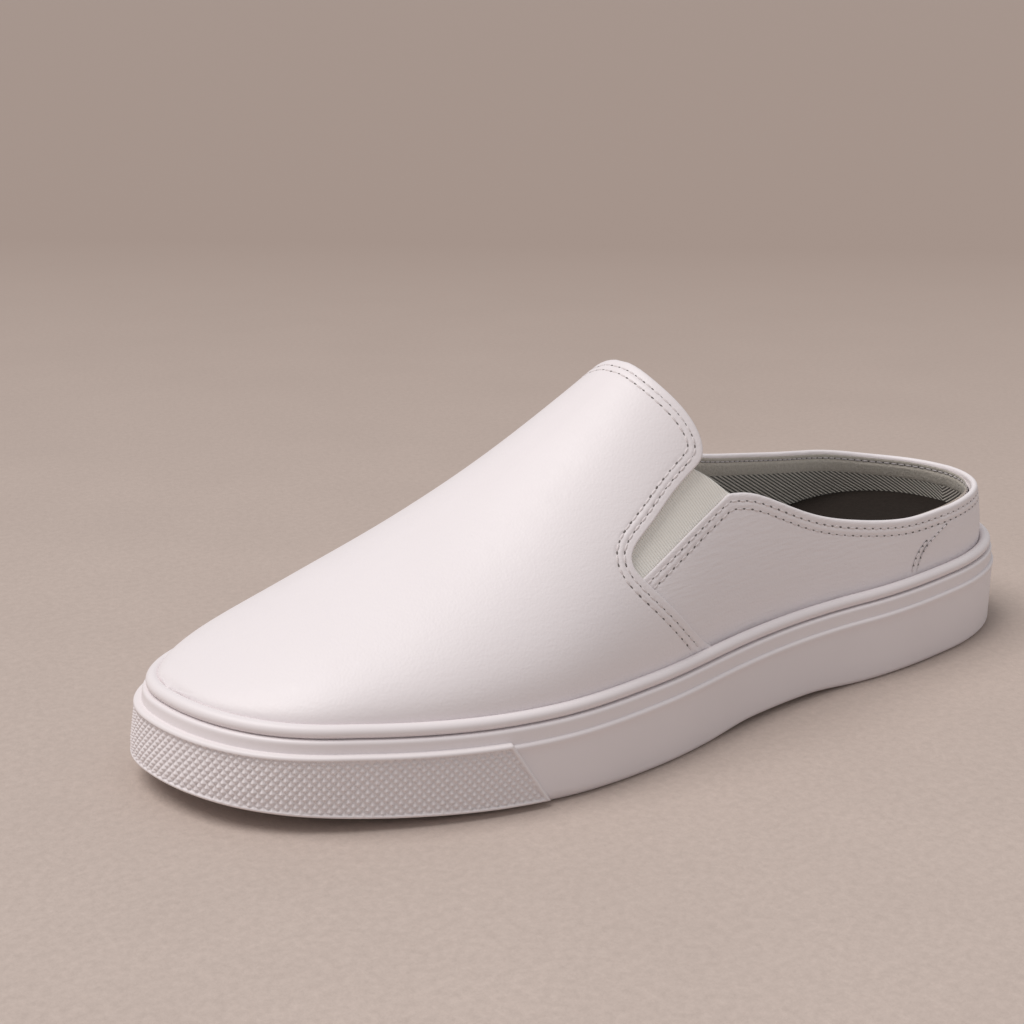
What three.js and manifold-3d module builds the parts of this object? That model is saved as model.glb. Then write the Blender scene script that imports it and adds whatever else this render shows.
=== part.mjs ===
// A left slip-on sneaker mule in millimetres, standing on its sole.
// +X points to the toe, +Y to the lateral side, +Z up; the origin is on the floor under the middle.

import * as THREE from 'three';
import { mergeVertices } from 'three/addons/utils/BufferGeometryUtils.js';
import Module from 'manifold-3d';

const wasm = await Module();
wasm.setup();

// Driving sizes
const LENGTH = 290; // sole, heel to toe
const BALL_WIDTH = 104; // sole across the ball
const HEEL_WIDTH = 77; // sole across the heel
const HEEL_SOLE = 20.7; // floor to the ridge line of the wall at the heel
const TOE_SOLE = 15.8; // sole to the ridge line at the toe
const TOE_SPRING = 5.2; // how far the toe tip is off the floor
const TOE_DROP = 1.5; // how much less the rim rises at the toe than the underside
const TOE_LEAN = 2; // how far the wall leans back at the rim of the toe
const LEAN_START = 10; // height from which it leans
const ARCH_RISE = 1.2; // how far the waist is off the floor
const BAND_HEIGHT = 4.5; // ridge line to the rim of the cup
const RIM_WIDTH = 5; // rubber wall of the cup, from the ridge line inwards
const HEEL_FLOOR = 19; // thickness of rubber under the heel
const BALL_FLOOR = 12.5; // thickness of rubber under the ball
const BEAD_HEIGHT = 3; // welt, from its seat to its crown
const BUMPER_PROUD = 0.9; // how far the toe bumper stands out of the wall
const BUMPER_DEPTH = 1.2; // how far the toe bumper is let into the wall
const BUMPER_RISE = 1.3; // ridge line to the top of the toe bumper
const UPPER_WALL = 2.4; // leather and lining
const INSTEP_RISE = 74; // bead to the top edge of the vamp
const HEEL_RISE = 17.2; // bead to the topline at the heel
const QUARTER_RISE = 37.6; // bead to the front corner of the quarter
const VAMP_STEP = 0.9; // how far the vamp stands over the quarter
const PATCH_STEP = 0.5; // how far the heel patch stands over the quarter
const GORE_SUNK = 0.7; // face of the elastic under the quarter's face
const GORE_THICKNESS = 1.2; // elastic web
const FOOTBED_HEEL = 33; // floor to the footbed at the heel
const FOOTBED_BALL = 20; // floor to the footbed at the ball
const SLOT_DEPTH = 1.4; // tread
const SLOT_WIDTH = 2.2; // tread
const SLOT_PITCH = 8.5; // tread
const TREAD_BORDER = 10; // plain rubber round the tread
const PAD_LENGTH = 34; // plain pads under heel and ball
const PAD_WIDTH = 26; // plain pads under heel and ball
const CLEARANCE = 0.3; // between pieces that meet on a curve

// Small sizes that shape an edge
const WALL_IN = 0.3; // side wall behind the ridge line
const SIDE_EDGE = 1.6; // rounding of the wall's lower edge at heel and sides
const TOE_EDGE = 3; // rounding of the wall's lower edge round the toe
const LEDGE = 0.9; // band behind the ridge line
const LIP = 0.8; // rounding of the rim
const FOOTBED_ROUND = 1.8; // rounded edge of the footbed
const BUMPER_FOOT = 1.4; // toe bumper over the lower edge of the wall
const BUMPER_BORDER = 1.1; // rounding of the toe bumper's edges
const EDGE_DROP = 0.6; // feather line of the upper under the crown line of the bead
const HEEL_FAN = 10; // how softly the sections of the heel turn into those of the waist
const FULL_HEIGHT = 40; // height of a section whose sides bulge in full
const BULGE_SWELL = 1.4; // growth of the bulge for each millimetre of a layer
const FINEST = 0.01; // faces smaller than this are joined to their neighbours
const BEYOND = 40; // how far a cutting form reaches past the shoe
const SPLIT = 400; // side of the blocks that part left from right

// Where along the shoe a change starts, as shares of the length from the heel
const FAN_AT = 0.15; // sections of the waist
const WRAP_FROM = 0.8; // foot of the layers follows the toe round
const DROP_FROM = 0.88; // rim drops
const LEAN_FROM = 0.9; // wall leans back
const NEAR = 0.01; // length over which a slope is taken

// Outline of the sole, heel to toe, as shares of the local width
const OUTLINE_ROWS = [
  { at: 0, lateral: 0.481, medial: 0.506, spine: 0.014 },
  { at: 0.1, lateral: 0.489, medial: 0.497, spine: 0.012 },
  { at: 0.2, lateral: 0.536, medial: 0.483, spine: 0.025 },
  { at: 0.3, lateral: 0.551, medial: 0.452, spine: 0.034 },
  { at: 0.4, lateral: 0.51, medial: 0.412, spine: 0.034 },
  { at: 0.5, lateral: 0.486, medial: 0.403, spine: 0.031 },
  { at: 0.6, lateral: 0.507, medial: 0.435, spine: 0.028 },
  { at: 0.7, lateral: 0.524, medial: 0.473, spine: 0.004 },
  { at: 0.8, lateral: 0.477, medial: 0.465, spine: -0.028 },
  { at: 0.9, lateral: 0.422, medial: 0.446, spine: -0.067 },
  { at: 1, lateral: 0.433, medial: 0.484, spine: -0.093 },
];
const HEEL_ROUND = { length: 0.16, power: 2.27 };
const TOE_ROUND = { length: 0.253, power: 2.74 };

// Sections of the last: ridge as a share of INSTEP_RISE, handles of each half section as shares
// of its own height and half width, bulge as a share of BALL_WIDTH
const SECTION_ROWS = [
  { at: 0, ridge: 1.184, side: 0.42, top: 0.45, bulge: 0.019 },
  { at: 0.15, ridge: 1.212, side: 0.42, top: 0.45, bulge: 0.019 },
  { at: 0.3, ridge: 1.239, side: 0.42, top: 0.45, bulge: 0.019 },
  { at: 0.42, ridge: 1.165, side: 0.48, top: 0.48, bulge: 0.019 },
  { at: 0.5, ridge: 1, side: 0.5, top: 0.5, bulge: 0.019 },
  { at: 0.6, ridge: 0.754, side: 0.5, top: 0.5, bulge: 0.019 },
  { at: 0.7, ridge: 0.527, side: 0.5, top: 0.5, bulge: 0.019 },
  { at: 0.8, ridge: 0.341, side: 0.52, top: 0.52, bulge: 0.014 },
  { at: 0.9, ridge: 0.177, side: 0.54, top: 0.54, bulge: 0.005 },
  { at: 1, ridge: 0.068, side: 0.55, top: 0.55, bulge: 0 },
];
const TOE_DOME = { length: 0.13, power: 2.34 };

// Edge of the vamp in side view, from the bead up to the instep; rise is a share of INSTEP_RISE
const VAMP_EDGE = [
  { at: 0.519, rise: 0 },
  { at: 0.533, rise: 0.043 },
  { at: 0.549, rise: 0.103 },
  { at: 0.578, rise: 0.22 },
  { at: 0.599, rise: 0.305 },
  { at: 0.608, rise: 0.35 },
  { at: 0.611, rise: 0.384 },
  { at: 0.607, rise: 0.414 },
  { at: 0.598, rise: 0.443 },
  { at: 0.577, rise: 0.492 },
  { at: 0.55, rise: 0.559 },
  { at: 0.513, rise: 0.635 },
  { at: 0.502, rise: 0.664 },
  { at: 0.498, rise: 0.712 },
  { at: 0.499, rise: 0.759 },
  { at: 0.503, rise: 0.811 },
  { at: 0.509, rise: 0.861 },
  { at: 0.515, rise: 0.909 },
  { at: 0.518, rise: 0.945 },
  { at: 0.5185, rise: 1.02 },
];
const GORE_FOOT = 4; // rows of VAMP_EDGE where the gore starts and ends
const GORE_HEAD = 11;

// Topline of the quarters in side view; both climb from 0 at the heel to 1 at their front corner
const TOPLINE = [
  { at: -0.05, lateral: 0, medial: 0 },
  { at: 0.02, lateral: 0, medial: 0 },
  { at: 0.08, lateral: 0.008, medial: 0.045 },
  { at: 0.17, lateral: 0.01, medial: 0.17 },
  { at: 0.22, lateral: 0.03, medial: 0.27 },
  { at: 0.271, lateral: 0.123, medial: 0.385 },
  { at: 0.319, lateral: 0.255, medial: 0.505 },
  { at: 0.364, lateral: 0.453, medial: 0.67 },
  { at: 0.409, lateral: 0.741, medial: 0.85 },
  { at: 0.449, lateral: 0.955, medial: 0.965 },
  { at: 0.476, lateral: 1, medial: 1 },
];
const COLLAR_HALF = 0.34; // the topline turns from lateral to medial inside this share of BALL_WIDTH
const QUARTER_FOOT = { at: 0.599, rise: 0.318 }; // lower end of the quarter's front edge
const PATCH_LOW_AT = 0.222; // front edge of the heel patch at the bead
const PATCH_HIGH = { at: 0.132, rise: 0.3 }; // and above the topline
const BUMPER_LOW_AT = 0.728; // slanted end of the toe bumper at the floor
const BUMPER_HIGH_AT = 0.773; // and at HEEL_SOLE
const HEEL_TREAD = { from: 0.06, to: 0.29, pad: 0.17 };
const BALL_TREAD = { from: 0.55, to: 0.93, pad: 0.62 };

// How finely the curved forms are cut into faces
const STATIONS = 45;
const HALF_SECTION = 10;
const SLOT_POINTS = 4;
const EDGE_POINTS = 34;
const LINE_POINTS = 14;

const BUMPER_OUT = WALL_IN - BUMPER_PROUD;
const BUMPER_IN = WALL_IN + BUMPER_DEPTH;
const HEEL_X = (BUMPER_OUT - LENGTH) / 2;

// Natural cubic spline through one column of a table
function spline(rows, column) {
  const last = rows.length - 1;
  const curve = new Array(rows.length).fill(0);
  const weight = new Array(rows.length).fill(0);
  for (let k = 1; k < last; k += 1) {
    const before = rows[k].at - rows[k - 1].at;
    const after = rows[k + 1].at - rows[k].at;
    const slopeBefore = (rows[k][column] - rows[k - 1][column]) / before;
    const slopeAfter = (rows[k + 1][column] - rows[k][column]) / after;
    const pivot = 2 * (before + after) - before * weight[k - 1];
    weight[k] = after / pivot;
    curve[k] = (6 * (slopeAfter - slopeBefore) - before * curve[k - 1]) / pivot;
  }
  for (let k = last - 1; k > 0; k -= 1) {
    curve[k] -= weight[k] * curve[k + 1];
  }
  return (at) => {
    const x = THREE.MathUtils.clamp(at, rows[0].at, rows[last].at);
    let k = 0;
    while (k < last - 1 && x > rows[k + 1].at) k += 1;
    const step = rows[k + 1].at - rows[k].at;
    const right = rows[k + 1].at - x;
    const left = x - rows[k].at;
    const bend = (curve[k] * right ** 3 + curve[k + 1] * left ** 3) / (6 * step);
    const low = rows[k][column] / step - (curve[k] * step) / 6;
    const high = rows[k + 1][column] / step - (curve[k + 1] * step) / 6;
    return bend + low * right + high * left;
  };
}

const lateralShare = spline(OUTLINE_ROWS, 'lateral');
const medialShare = spline(OUTLINE_ROWS, 'medial');
const spineShare = spline(OUTLINE_ROWS, 'spine');
const ridgeShare = spline(SECTION_ROWS, 'ridge');
const sideHandle = spline(SECTION_ROWS, 'side');
const topHandle = spline(SECTION_ROWS, 'top');
const bulgeShare = spline(SECTION_ROWS, 'bulge');

const { smoothstep, lerp, clamp } = THREE.MathUtils;

// Heights along the sole
const localWidth = (at) => lerp(HEEL_WIDTH, BALL_WIDTH, smoothstep(at, 0.3, 0.6));
const toeLift = (at) => TOE_SPRING * clamp((at - 0.7) / 0.3, 0, 1) ** 2;
const archLift = (at) => ARCH_RISE * smoothstep(at, 0.3, 0.38) * (1 - smoothstep(at, 0.46, 0.54));
const underside = (at) => toeLift(at) + archLift(at);
const rimLift = (at) => toeLift(at) - TOE_DROP * smoothstep(at, DROP_FROM, 1);
const ridgeLine = (at) => lerp(HEEL_SOLE, TOE_SOLE, clamp(at, 0, 1)) + rimLift(at);
const rimLine = (at) => ridgeLine(at) + BAND_HEIGHT;
const cupFloor = (at) => lerp(HEEL_FLOOR, BALL_FLOOR, smoothstep(at, 0.25, 0.65)) + rimLift(at);
const footbed = (at) => lerp(FOOTBED_HEEL, FOOTBED_BALL, smoothstep(at, 0, 0.7)) + rimLift(at);
const crownLine = (at) => rimLine(at) + CLEARANCE + BEAD_HEIGHT;
const featherLine = (at) => crownLine(at) - EDGE_DROP;
const spineY = (at) => spineShare(at) * localWidth(at);

// How far the wall round the toe leans back at a height
function toeLean(at, z) {
  const rise = (z - LEAN_START) / (rimLine(at) - LEAN_START);
  return TOE_LEAN * smoothstep(at, LEAN_FROM, 1) * Math.max(0, rise);
}

// Rounded ends of the outline
function endShare(at) {
  const heel = clamp((HEEL_ROUND.length - at) / HEEL_ROUND.length, 0, 1);
  const toe = clamp((at - 1 + TOE_ROUND.length) / TOE_ROUND.length, 0, 1);
  return Math.sqrt((1 - heel ** HEEL_ROUND.power) * (1 - toe ** TOE_ROUND.power));
}

// Lateral side from heel to toe, then the medial side back; each point has its outward normal
function outlinePoints() {
  const points = [];
  for (let k = 0; k < 2 * (STATIONS - 1); k += 1) {
    const lateral = k < STATIONS;
    const step = lateral ? k : 2 * (STATIONS - 1) - k;
    const at = (1 - Math.cos((Math.PI * step) / (STATIONS - 1))) / 2;
    const reach = lateral ? lateralShare(at) * localWidth(at) : -medialShare(at) * localWidth(at);
    const y = spineY(at) + (reach - spineY(at)) * endShare(at);
    points.push({ at, x: HEEL_X + LENGTH * at, y });
  }
  const proud = (p) => (p.at > BUMPER_LOW_AT ? p.y - Math.sign(p.y) * BUMPER_OUT : p.y);
  const middle = (Math.max(...points.map(proud)) + Math.min(...points.map(proud))) / 2;
  points.forEach((p) => {
    p.y -= middle;
  });
  points.forEach((p, k) => {
    const next = points[(k + 1) % points.length];
    const last = points[(k + points.length - 1) % points.length];
    const normal = new THREE.Vector2(last.y - next.y, next.x - last.x).normalize();
    p.nx = normal.x;
    p.ny = normal.y;
  });
  return { points, middle };
}

const { points: OUTLINE, middle: MIDDLE_Y } = outlinePoints();
const mirror = (k) => (OUTLINE.length - k) % OUTLINE.length;
const ridgeY = (at) => spineY(at) - MIDDLE_Y;

// One loop round the shoe, inset from the outline at a height
function ring(inset, height) {
  return OUTLINE.map((p) => {
    const z = height(p.at);
    const back = (typeof inset === 'function' ? inset(p.at) : inset) + toeLean(p.at, z);
    return [p.x - back * p.nx, p.y - back * p.ny, z];
  });
}

// A closed mesh from points and faces, turned so that its faces point out
function solid(points, faces) {
  let geometry = new THREE.BufferGeometry();
  geometry.setAttribute('position', new THREE.Float32BufferAttribute(points.flat(), 3));
  geometry.setIndex(faces.flat());
  return solidFrom(geometry);
}

function solidFrom(raw) {
  raw.deleteAttribute('normal');
  raw.deleteAttribute('uv');
  const geometry = mergeVertices(raw, 1e-4);
  const position = geometry.getAttribute('position');
  const corner = (k) => new THREE.Vector3().fromBufferAttribute(position, k);
  const kept = [];
  let volume = 0;
  for (let k = 0; k < geometry.index.count; k += 3) {
    const [a, b, c] = [0, 1, 2].map((n) => geometry.index.getX(k + n));
    if (a !== b && b !== c && c !== a) {
      kept.push([a, b, c]);
      volume += corner(a).dot(corner(b).cross(corner(c)));
    }
  }
  const triVerts = new Uint32Array((volume < 0 ? kept.map(([a, b, c]) => [a, c, b]) : kept).flat());
  const vertProperties = new Float32Array(position.array);
  return new wasm.Manifold(new wasm.Mesh({ numProp: 3, vertProperties, triVerts, tolerance: FINEST }));
}

// Faces between neighbouring loops
function skin(loops, count, faces) {
  for (let r = 0; r + 1 < loops; r += 1) {
    for (let k = 0; k < count; k += 1) {
      const next = (k + 1) % count;
      faces.push([r * count + k, r * count + next, (r + 1) * count + next]);
      faces.push([r * count + k, (r + 1) * count + next, (r + 1) * count + k]);
    }
  }
}

// A solid stacked from loops, each given as [inset, height], with flat strips across both ends
function stack(profile) {
  const loops = profile.map(([inset, height]) => ring(inset, height));
  const count = OUTLINE.length;
  const faces = [];
  skin(loops.length, count, faces);
  for (let k = 0; k + 1 < STATIONS; k += 1) {
    const corners = [k, k + 1, mirror(k + 1), mirror(k)];
    const top = (loops.length - 1) * count;
    faces.push([corners[0], corners[2], corners[1]], [corners[0], corners[3], corners[2]]);
    faces.push([corners[0] + top, corners[1] + top, corners[2] + top]);
    faces.push([corners[0] + top, corners[2] + top, corners[3] + top]);
  }
  return solid(loops.flat(), faces);
}

// A bead that runs round the whole shoe, its section given as [inset, height]
function hoop(profile) {
  const loops = [...profile, profile[0]].map(([inset, height]) => ring(inset, height));
  const faces = [];
  skin(loops.length, OUTLINE.length, faces);
  return solid(loops.flat(), faces);
}

// The last from its feather line up, with a straight skirt down to a floor.
// inset is at the feather, swell grows the sections above it
function last(inset, swell, floor) {
  const feather = ring(inset, featherLine);
  const foot = ring(inset, floor);
  const fanX = HEEL_X + FAN_AT * LENGTH;
  const points = [];
  for (let i = 0; i < STATIONS; i += 1) {
    const { at } = OUTLINE[i];
    const lateral = feather[i];
    const medial = feather[mirror(i)];
    const x = (lateral[0] + medial[0]) / 2;
    const past = x - fanX;
    const centreX = Math.max(x, fanX + (past + Math.hypot(past, HEEL_FAN)) / 2);
    const centreAt = clamp((centreX - HEEL_X) / LENGTH, 0, 1);
    const slope = (ridgeShare(centreAt + NEAR) - ridgeShare(centreAt - NEAR)) / (2 * NEAR);
    const steep = Math.hypot(1, (slope * INSTEP_RISE) / LENGTH);
    const tip = feather[STATIONS - 1][0];
    const toe = clamp(1 - (tip - x) / (TOE_DOME.length * LENGTH), 0, 1);
    const full = ridgeShare(centreAt) * INSTEP_RISE + swell * steep;
    const height = full * Math.sqrt(1 - toe ** TOE_DOME.power);
    const bulge = (bulgeShare(at) * BALL_WIDTH + BULGE_SWELL * swell) * Math.min(1, height / FULL_HEIGHT);
    const half = (edge) => {
      const dx = edge[0] - centreX;
      const dy = edge[1] - ridgeY(centreAt);
      const reach = Math.hypot(dx, dy) + 1e-9;
      const line = [];
      for (let n = 0; n <= HALF_SECTION; n += 1) {
        const t = n / HALF_SECTION;
        const [a, b, c, d] = [(1 - t) ** 3, 3 * t * (1 - t) ** 2, 3 * t * t * (1 - t), t ** 3];
        const out = a * reach + b * (reach + bulge) + c * topHandle(at) * reach;
        const up = (b * sideHandle(at) + c + d) * height;
        line.push([centreX + (dx / reach) * out, ridgeY(centreAt) + (dy / reach) * out, edge[2] + up]);
      }
      return line;
    };
    points.push(foot[i], ...half(lateral), ...half(medial).reverse().slice(1), foot[mirror(i)]);
  }
  const columns = 2 * HALF_SECTION + 3;
  const faces = [];
  for (let i = 0; i + 1 < STATIONS; i += 1) {
    for (let j = 0; j < columns; j += 1) {
      const next = (j + 1) % columns;
      faces.push([i * columns + j, (i + 1) * columns + j, (i + 1) * columns + next]);
      faces.push([i * columns + j, (i + 1) * columns + next, i * columns + next]);
    }
  }
  return solid(points, faces);
}

// A side view outline, as [x, z] points, carried through the shoe from the lateral to the medial side
function through(lateral, medial = lateral) {
  const far = BALL_WIDTH / 2 + BEYOND;
  const near = COLLAR_HALF * BALL_WIDTH;
  const at = (outline, y) => outline.map(([x, z]) => [x, y, z]);
  const loops = [at(lateral, far), at(lateral, near), at(medial, -near), at(medial, -far)];
  const faces = [];
  skin(loops.length, lateral.length, faces);
  const cap = (outline, first, turned) => {
    const flat = outline.map(([x, z]) => new THREE.Vector2(x, z));
    for (const [p, q, r] of THREE.ShapeUtils.triangulateShape(flat, [])) {
      faces.push(turned ? [first + p, first + r, first + q] : [first + p, first + q, first + r]);
    }
  };
  const clockwise = THREE.ShapeUtils.isClockWise(lateral.map(([x, z]) => new THREE.Vector2(x, z)));
  cap(lateral, 0, !clockwise);
  cap(medial, 3 * lateral.length, clockwise);
  return solid(loops.flat(), faces);
}

// A plan view outline, as [x, y] points, raised from under the floor to a height
function upFromFloor(points, height) {
  const shape = new THREE.Shape(points.map(([x, y]) => new THREE.Vector2(x, y)));
  const geometry = new THREE.ExtrudeGeometry(shape, { depth: height + BEYOND, bevelEnabled: false });
  geometry.translate(0, 0, -BEYOND);
  return solidFrom(geometry);
}

const sideX = (at) => HEEL_X + LENGTH * at;
const sidePoint = ({ at, rise }) => [sideX(at), featherLine(at) + rise * INSTEP_RISE];
const toplineZ = (at, climb) => featherLine(at) + lerp(HEEL_RISE, QUARTER_RISE, climb);

function smooth(points, count) {
  const curve = new THREE.SplineCurve(points.map(([x, z]) => new THREE.Vector2(x, z)));
  return curve.getPoints(count).map((p) => [p.x, p.y]);
}

// The same outline with every side moved in by a distance
function shrink(points, by) {
  const area = points.reduce((sum, p, k) => {
    const next = points[(k + 1) % points.length];
    return sum + p[0] * next[1] - next[0] * p[1];
  }, 0);
  const turn = area > 0 ? 1 : -1;
  const inward = (from, to) => new THREE.Vector2((from[1] - to[1]) * turn, (to[0] - from[0]) * turn).normalize();
  return points.map((p, k) => {
    const one = inward(points[(k + points.length - 1) % points.length], p);
    const two = inward(p, points[(k + 1) % points.length]);
    const share = by / (1 + one.dot(two));
    return [p[0] + (one.x + two.x) * share, p[1] + (one.y + two.y) * share];
  });
}

// Outsole
const lowerEdge = (at) => lerp(SIDE_EDGE, TOE_EDGE, smoothstep(at, 0.6, 0.75));

// The wall from its lower edge up to the rim and down inside, as inset and height
const wallProfile = [
  [(at) => WALL_IN + lowerEdge(at), underside],
  [(at) => WALL_IN + 0.5 * lowerEdge(at), (at) => underside(at) + 0.2 * lowerEdge(at)],
  [(at) => WALL_IN + 0.15 * lowerEdge(at), (at) => underside(at) + 0.6 * lowerEdge(at)],
  [WALL_IN, (at) => underside(at) + 1.2 * lowerEdge(at)],
  [WALL_IN, (at) => ridgeLine(at) - 3 * WALL_IN],
  [0, (at) => ridgeLine(at) - WALL_IN],
  [0.2 * LEDGE, ridgeLine],
  [LEDGE, (at) => ridgeLine(at) + 0.4 * LEDGE],
  [LEDGE, (at) => rimLine(at) - LIP],
  [LEDGE + 0.3 * LIP, (at) => rimLine(at) - 0.3 * LIP],
  [LEDGE + LIP, rimLine],
  [RIM_WIDTH, rimLine],
  [RIM_WIDTH, cupFloor],
];

function treadSlots() {
  const slots = [];
  for (const { from, to, pad } of [HEEL_TREAD, BALL_TREAD]) {
    const centre = sideX(pad);
    const count = Math.floor(((to - from) * LENGTH) / SLOT_PITCH);
    for (let k = 0; k <= count; k += 1) {
      const at = from + (k * SLOT_PITCH) / LENGTH;
      const near = OUTLINE.slice(0, STATIONS).reduce((a, b) => (Math.abs(b.at - at) < Math.abs(a.at - at) ? b : a));
      const far = OUTLINE[mirror(OUTLINE.indexOf(near))];
      const [left, right] = [near.y - TREAD_BORDER, far.y + TREAD_BORDER];
      const padHalf = Math.abs(sideX(at) - centre) < PAD_LENGTH / 2 + SLOT_WIDTH ? PAD_WIDTH / 2 : 0;
      const pieces = padHalf ? [[left, padHalf + ridgeY(at)], [ridgeY(at) - padHalf, right]] : [[left, right]];
      for (const [start, end] of pieces) {
        const bow = (y) => sideX(at) - 0.25 * SLOT_PITCH * ((2 * (y - right)) / (left - right) - 1) ** 2;
        const line = [];
        for (let n = 0; n <= SLOT_POINTS; n += 1) {
          const y = lerp(start, end, n / SLOT_POINTS);
          line.push([bow(y), y]);
        }
        const back = [...line].reverse().map(([x, y]) => [x - SLOT_WIDTH, y]);
        slots.push(upFromFloor([...line, ...back], underside(at) + SLOT_DEPTH));
      }
    }
  }
  return slots;
}

// All that lies ahead of the slanted line where the toe bumper ends, moved back by a distance
function aheadOf(back) {
  return through([
    [sideX(BUMPER_LOW_AT) - back, -BEYOND],
    [sideX(BUMPER_LOW_AT) - back, 0],
    [sideX(BUMPER_HIGH_AT) - back, HEEL_SOLE],
    [sideX(BUMPER_HIGH_AT) - back, HEEL_SOLE + BEYOND],
    [sideX(1) + BEYOND, HEEL_SOLE + BEYOND],
    [sideX(1) + BEYOND, -BEYOND],
  ]);
}

const bumperTop = (at) => ridgeLine(at) + BUMPER_RISE;
const bumperFloor = (at) => underside(at) + BUMPER_FOOT;
const bumperHeel = BUMPER_IN + 0.3 * BUMPER_BORDER;

function toeBumper() {
  const strip = hoop([
    [bumperHeel, bumperFloor],
    [BUMPER_OUT + BUMPER_BORDER, bumperFloor],
    [BUMPER_OUT + 0.3 * BUMPER_BORDER, (at) => bumperFloor(at) + 0.7 * BUMPER_BORDER],
    [BUMPER_OUT, (at) => bumperFloor(at) + 2 * BUMPER_BORDER],
    [BUMPER_OUT, (at) => bumperTop(at) - BUMPER_BORDER],
    [BUMPER_OUT + 0.3 * BUMPER_BORDER, (at) => bumperTop(at) - 0.3 * BUMPER_BORDER],
    [BUMPER_OUT + BUMPER_BORDER, bumperTop],
    [BUMPER_IN, bumperTop],
  ]);
  return strip.intersect(aheadOf(0));
}

function bumperSeat() {
  const strip = hoop([
    [bumperHeel + CLEARANCE, (at) => bumperFloor(at) - CLEARANCE],
    [-BEYOND / 2, (at) => bumperFloor(at) - CLEARANCE],
    [-BEYOND / 2, (at) => bumperTop(at) + CLEARANCE],
    [BUMPER_IN + CLEARANCE, (at) => bumperTop(at) + CLEARANCE],
  ]);
  return strip.intersect(aheadOf(CLEARANCE));
}

function outsole() {
  let body = stack(wallProfile);
  body = body.subtract(bumperSeat());
  for (const slot of treadSlots()) {
    body = body.subtract(slot);
  }
  return body;
}

// Welt, a rounded bead on the rim
function welt() {
  const seat = (at) => rimLine(at) + CLEARANCE;
  const up = (share) => (at) => seat(at) + share * BEAD_HEIGHT;
  return hoop([
    [RIM_WIDTH, up(0)],
    [0.4 * RIM_WIDTH, up(0)],
    [0.3 * RIM_WIDTH, up(0.28)],
    [0.32 * RIM_WIDTH, up(0.6)],
    [0.44 * RIM_WIDTH, up(0.88)],
    [0.63 * RIM_WIDTH, up(1)],
    [0.84 * RIM_WIDTH, up(0.9)],
    [RIM_WIDTH, up(0.66)],
  ]);
}

// Upper
const VAMP_INSET = RIM_WIDTH + CLEARANCE - VAMP_STEP;
const upperFloor = (at) => cupFloor(at) + CLEARANCE;
const vampEdge = smooth(VAMP_EDGE.map(sidePoint), EDGE_POINTS);
const instepEdge = smooth(VAMP_EDGE.slice(GORE_HEAD).map(sidePoint), Math.round(EDGE_POINTS / 3));
const goreEdge = smooth(VAMP_EDGE.slice(GORE_FOOT, GORE_HEAD + 1).map(sidePoint), Math.round(EDGE_POINTS / 3));
const topline = (side) => TOPLINE.map((row) => [sideX(row.at), toplineZ(row.at, row[side])]);
const quarterCorner = topline('lateral')[TOPLINE.length - 1];
const aboveAll = featherLine(0) + 2 * INSTEP_RISE;

// The last with its skin this far under the vamp's face
const underVamp = (depth, floor) => last(VAMP_INSET + depth, -depth, floor);

// A point pushed on past another by a distance
function pushed(from, to, distance) {
  const size = Math.hypot(to[0] - from[0], to[1] - from[1]);
  return to.map((v, k) => v + (distance * (v - from[k])) / size);
}

// The gore's window in side view; lift carries its open top past the topline
function goreOutline(lift) {
  const foot = sidePoint(QUARTER_FOOT);
  const head = goreEdge[goreEdge.length - 1];
  const before = goreEdge[goreEdge.length - 2];
  return [pushed(foot, quarterCorner, lift), foot, ...goreEdge.slice(1, -1), pushed(before, head, lift)];
}

const layerFoot = (at) => crownLine(at) + CLEARANCE;

// The line just above the bead in side view, along which the layers start
function beadLine(from, to) {
  const points = [];
  for (let n = 0; n <= LINE_POINTS; n += 1) {
    const at = lerp(from, to, n / LINE_POINTS);
    points.push([sideX(at) - (RIM_WIDTH + TOE_LEAN) * smoothstep(at, WRAP_FROM, 1), layerFoot(at)]);
  }
  return points;
}

function upper() {
  const quarters = underVamp(VAMP_STEP, upperFloor);
  const foot = (vampEdge[0][0] - HEEL_X) / LENGTH;
  const vamp = underVamp(0, upperFloor).intersect(through([
    ...beadLine(foot + 0.01, 1 + 0.05),
    [sideX(1) + BEYOND, aboveAll],
    [vampEdge[vampEdge.length - 1][0], aboveAll],
    ...vampEdge.filter(([x, z]) => z > layerFoot((x - HEEL_X) / LENGTH) + CLEARANCE).reverse(),
  ]));
  const patchHigh = sidePoint(PATCH_HIGH);
  const patch = underVamp(VAMP_STEP - PATCH_STEP, upperFloor).intersect(through([
    ...beadLine(-0.05, PATCH_LOW_AT),
    patchHigh,
    [sideX(0) - BEYOND, patchHigh[1]],
  ]));
  const inside = underVamp(VAMP_STEP + UPPER_WALL, (at) => upperFloor(at) - BEYOND / 8);
  const openingFrom = (side) => [
    [sideX(0) - BEYOND, topline(side)[0][1]],
    ...smooth(topline(side), EDGE_POINTS),
    ...instepEdge,
    [instepEdge[instepEdge.length - 1][0], aboveAll],
    [sideX(0) - BEYOND, aboveAll],
  ];
  const opening = through(openingFrom('lateral'), openingFrom('medial'));
  const window = through(goreOutline(BEYOND / 8));
  return quarters.add(vamp).add(patch).subtract(inside).subtract(opening).subtract(window);
}

function gore(side) {
  const face = underVamp(VAMP_STEP + GORE_SUNK, upperFloor);
  const back = underVamp(VAMP_STEP + GORE_SUNK + GORE_THICKNESS, upperFloor);
  const web = face.subtract(back).intersect(through(shrink(goreOutline(0), CLEARANCE)));
  const block = new THREE.BoxGeometry(SPLIT, SPLIT, SPLIT);
  block.translate(0, (side * SPLIT) / 2, 0);
  return web.intersect(solidFrom(block));
}

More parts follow.
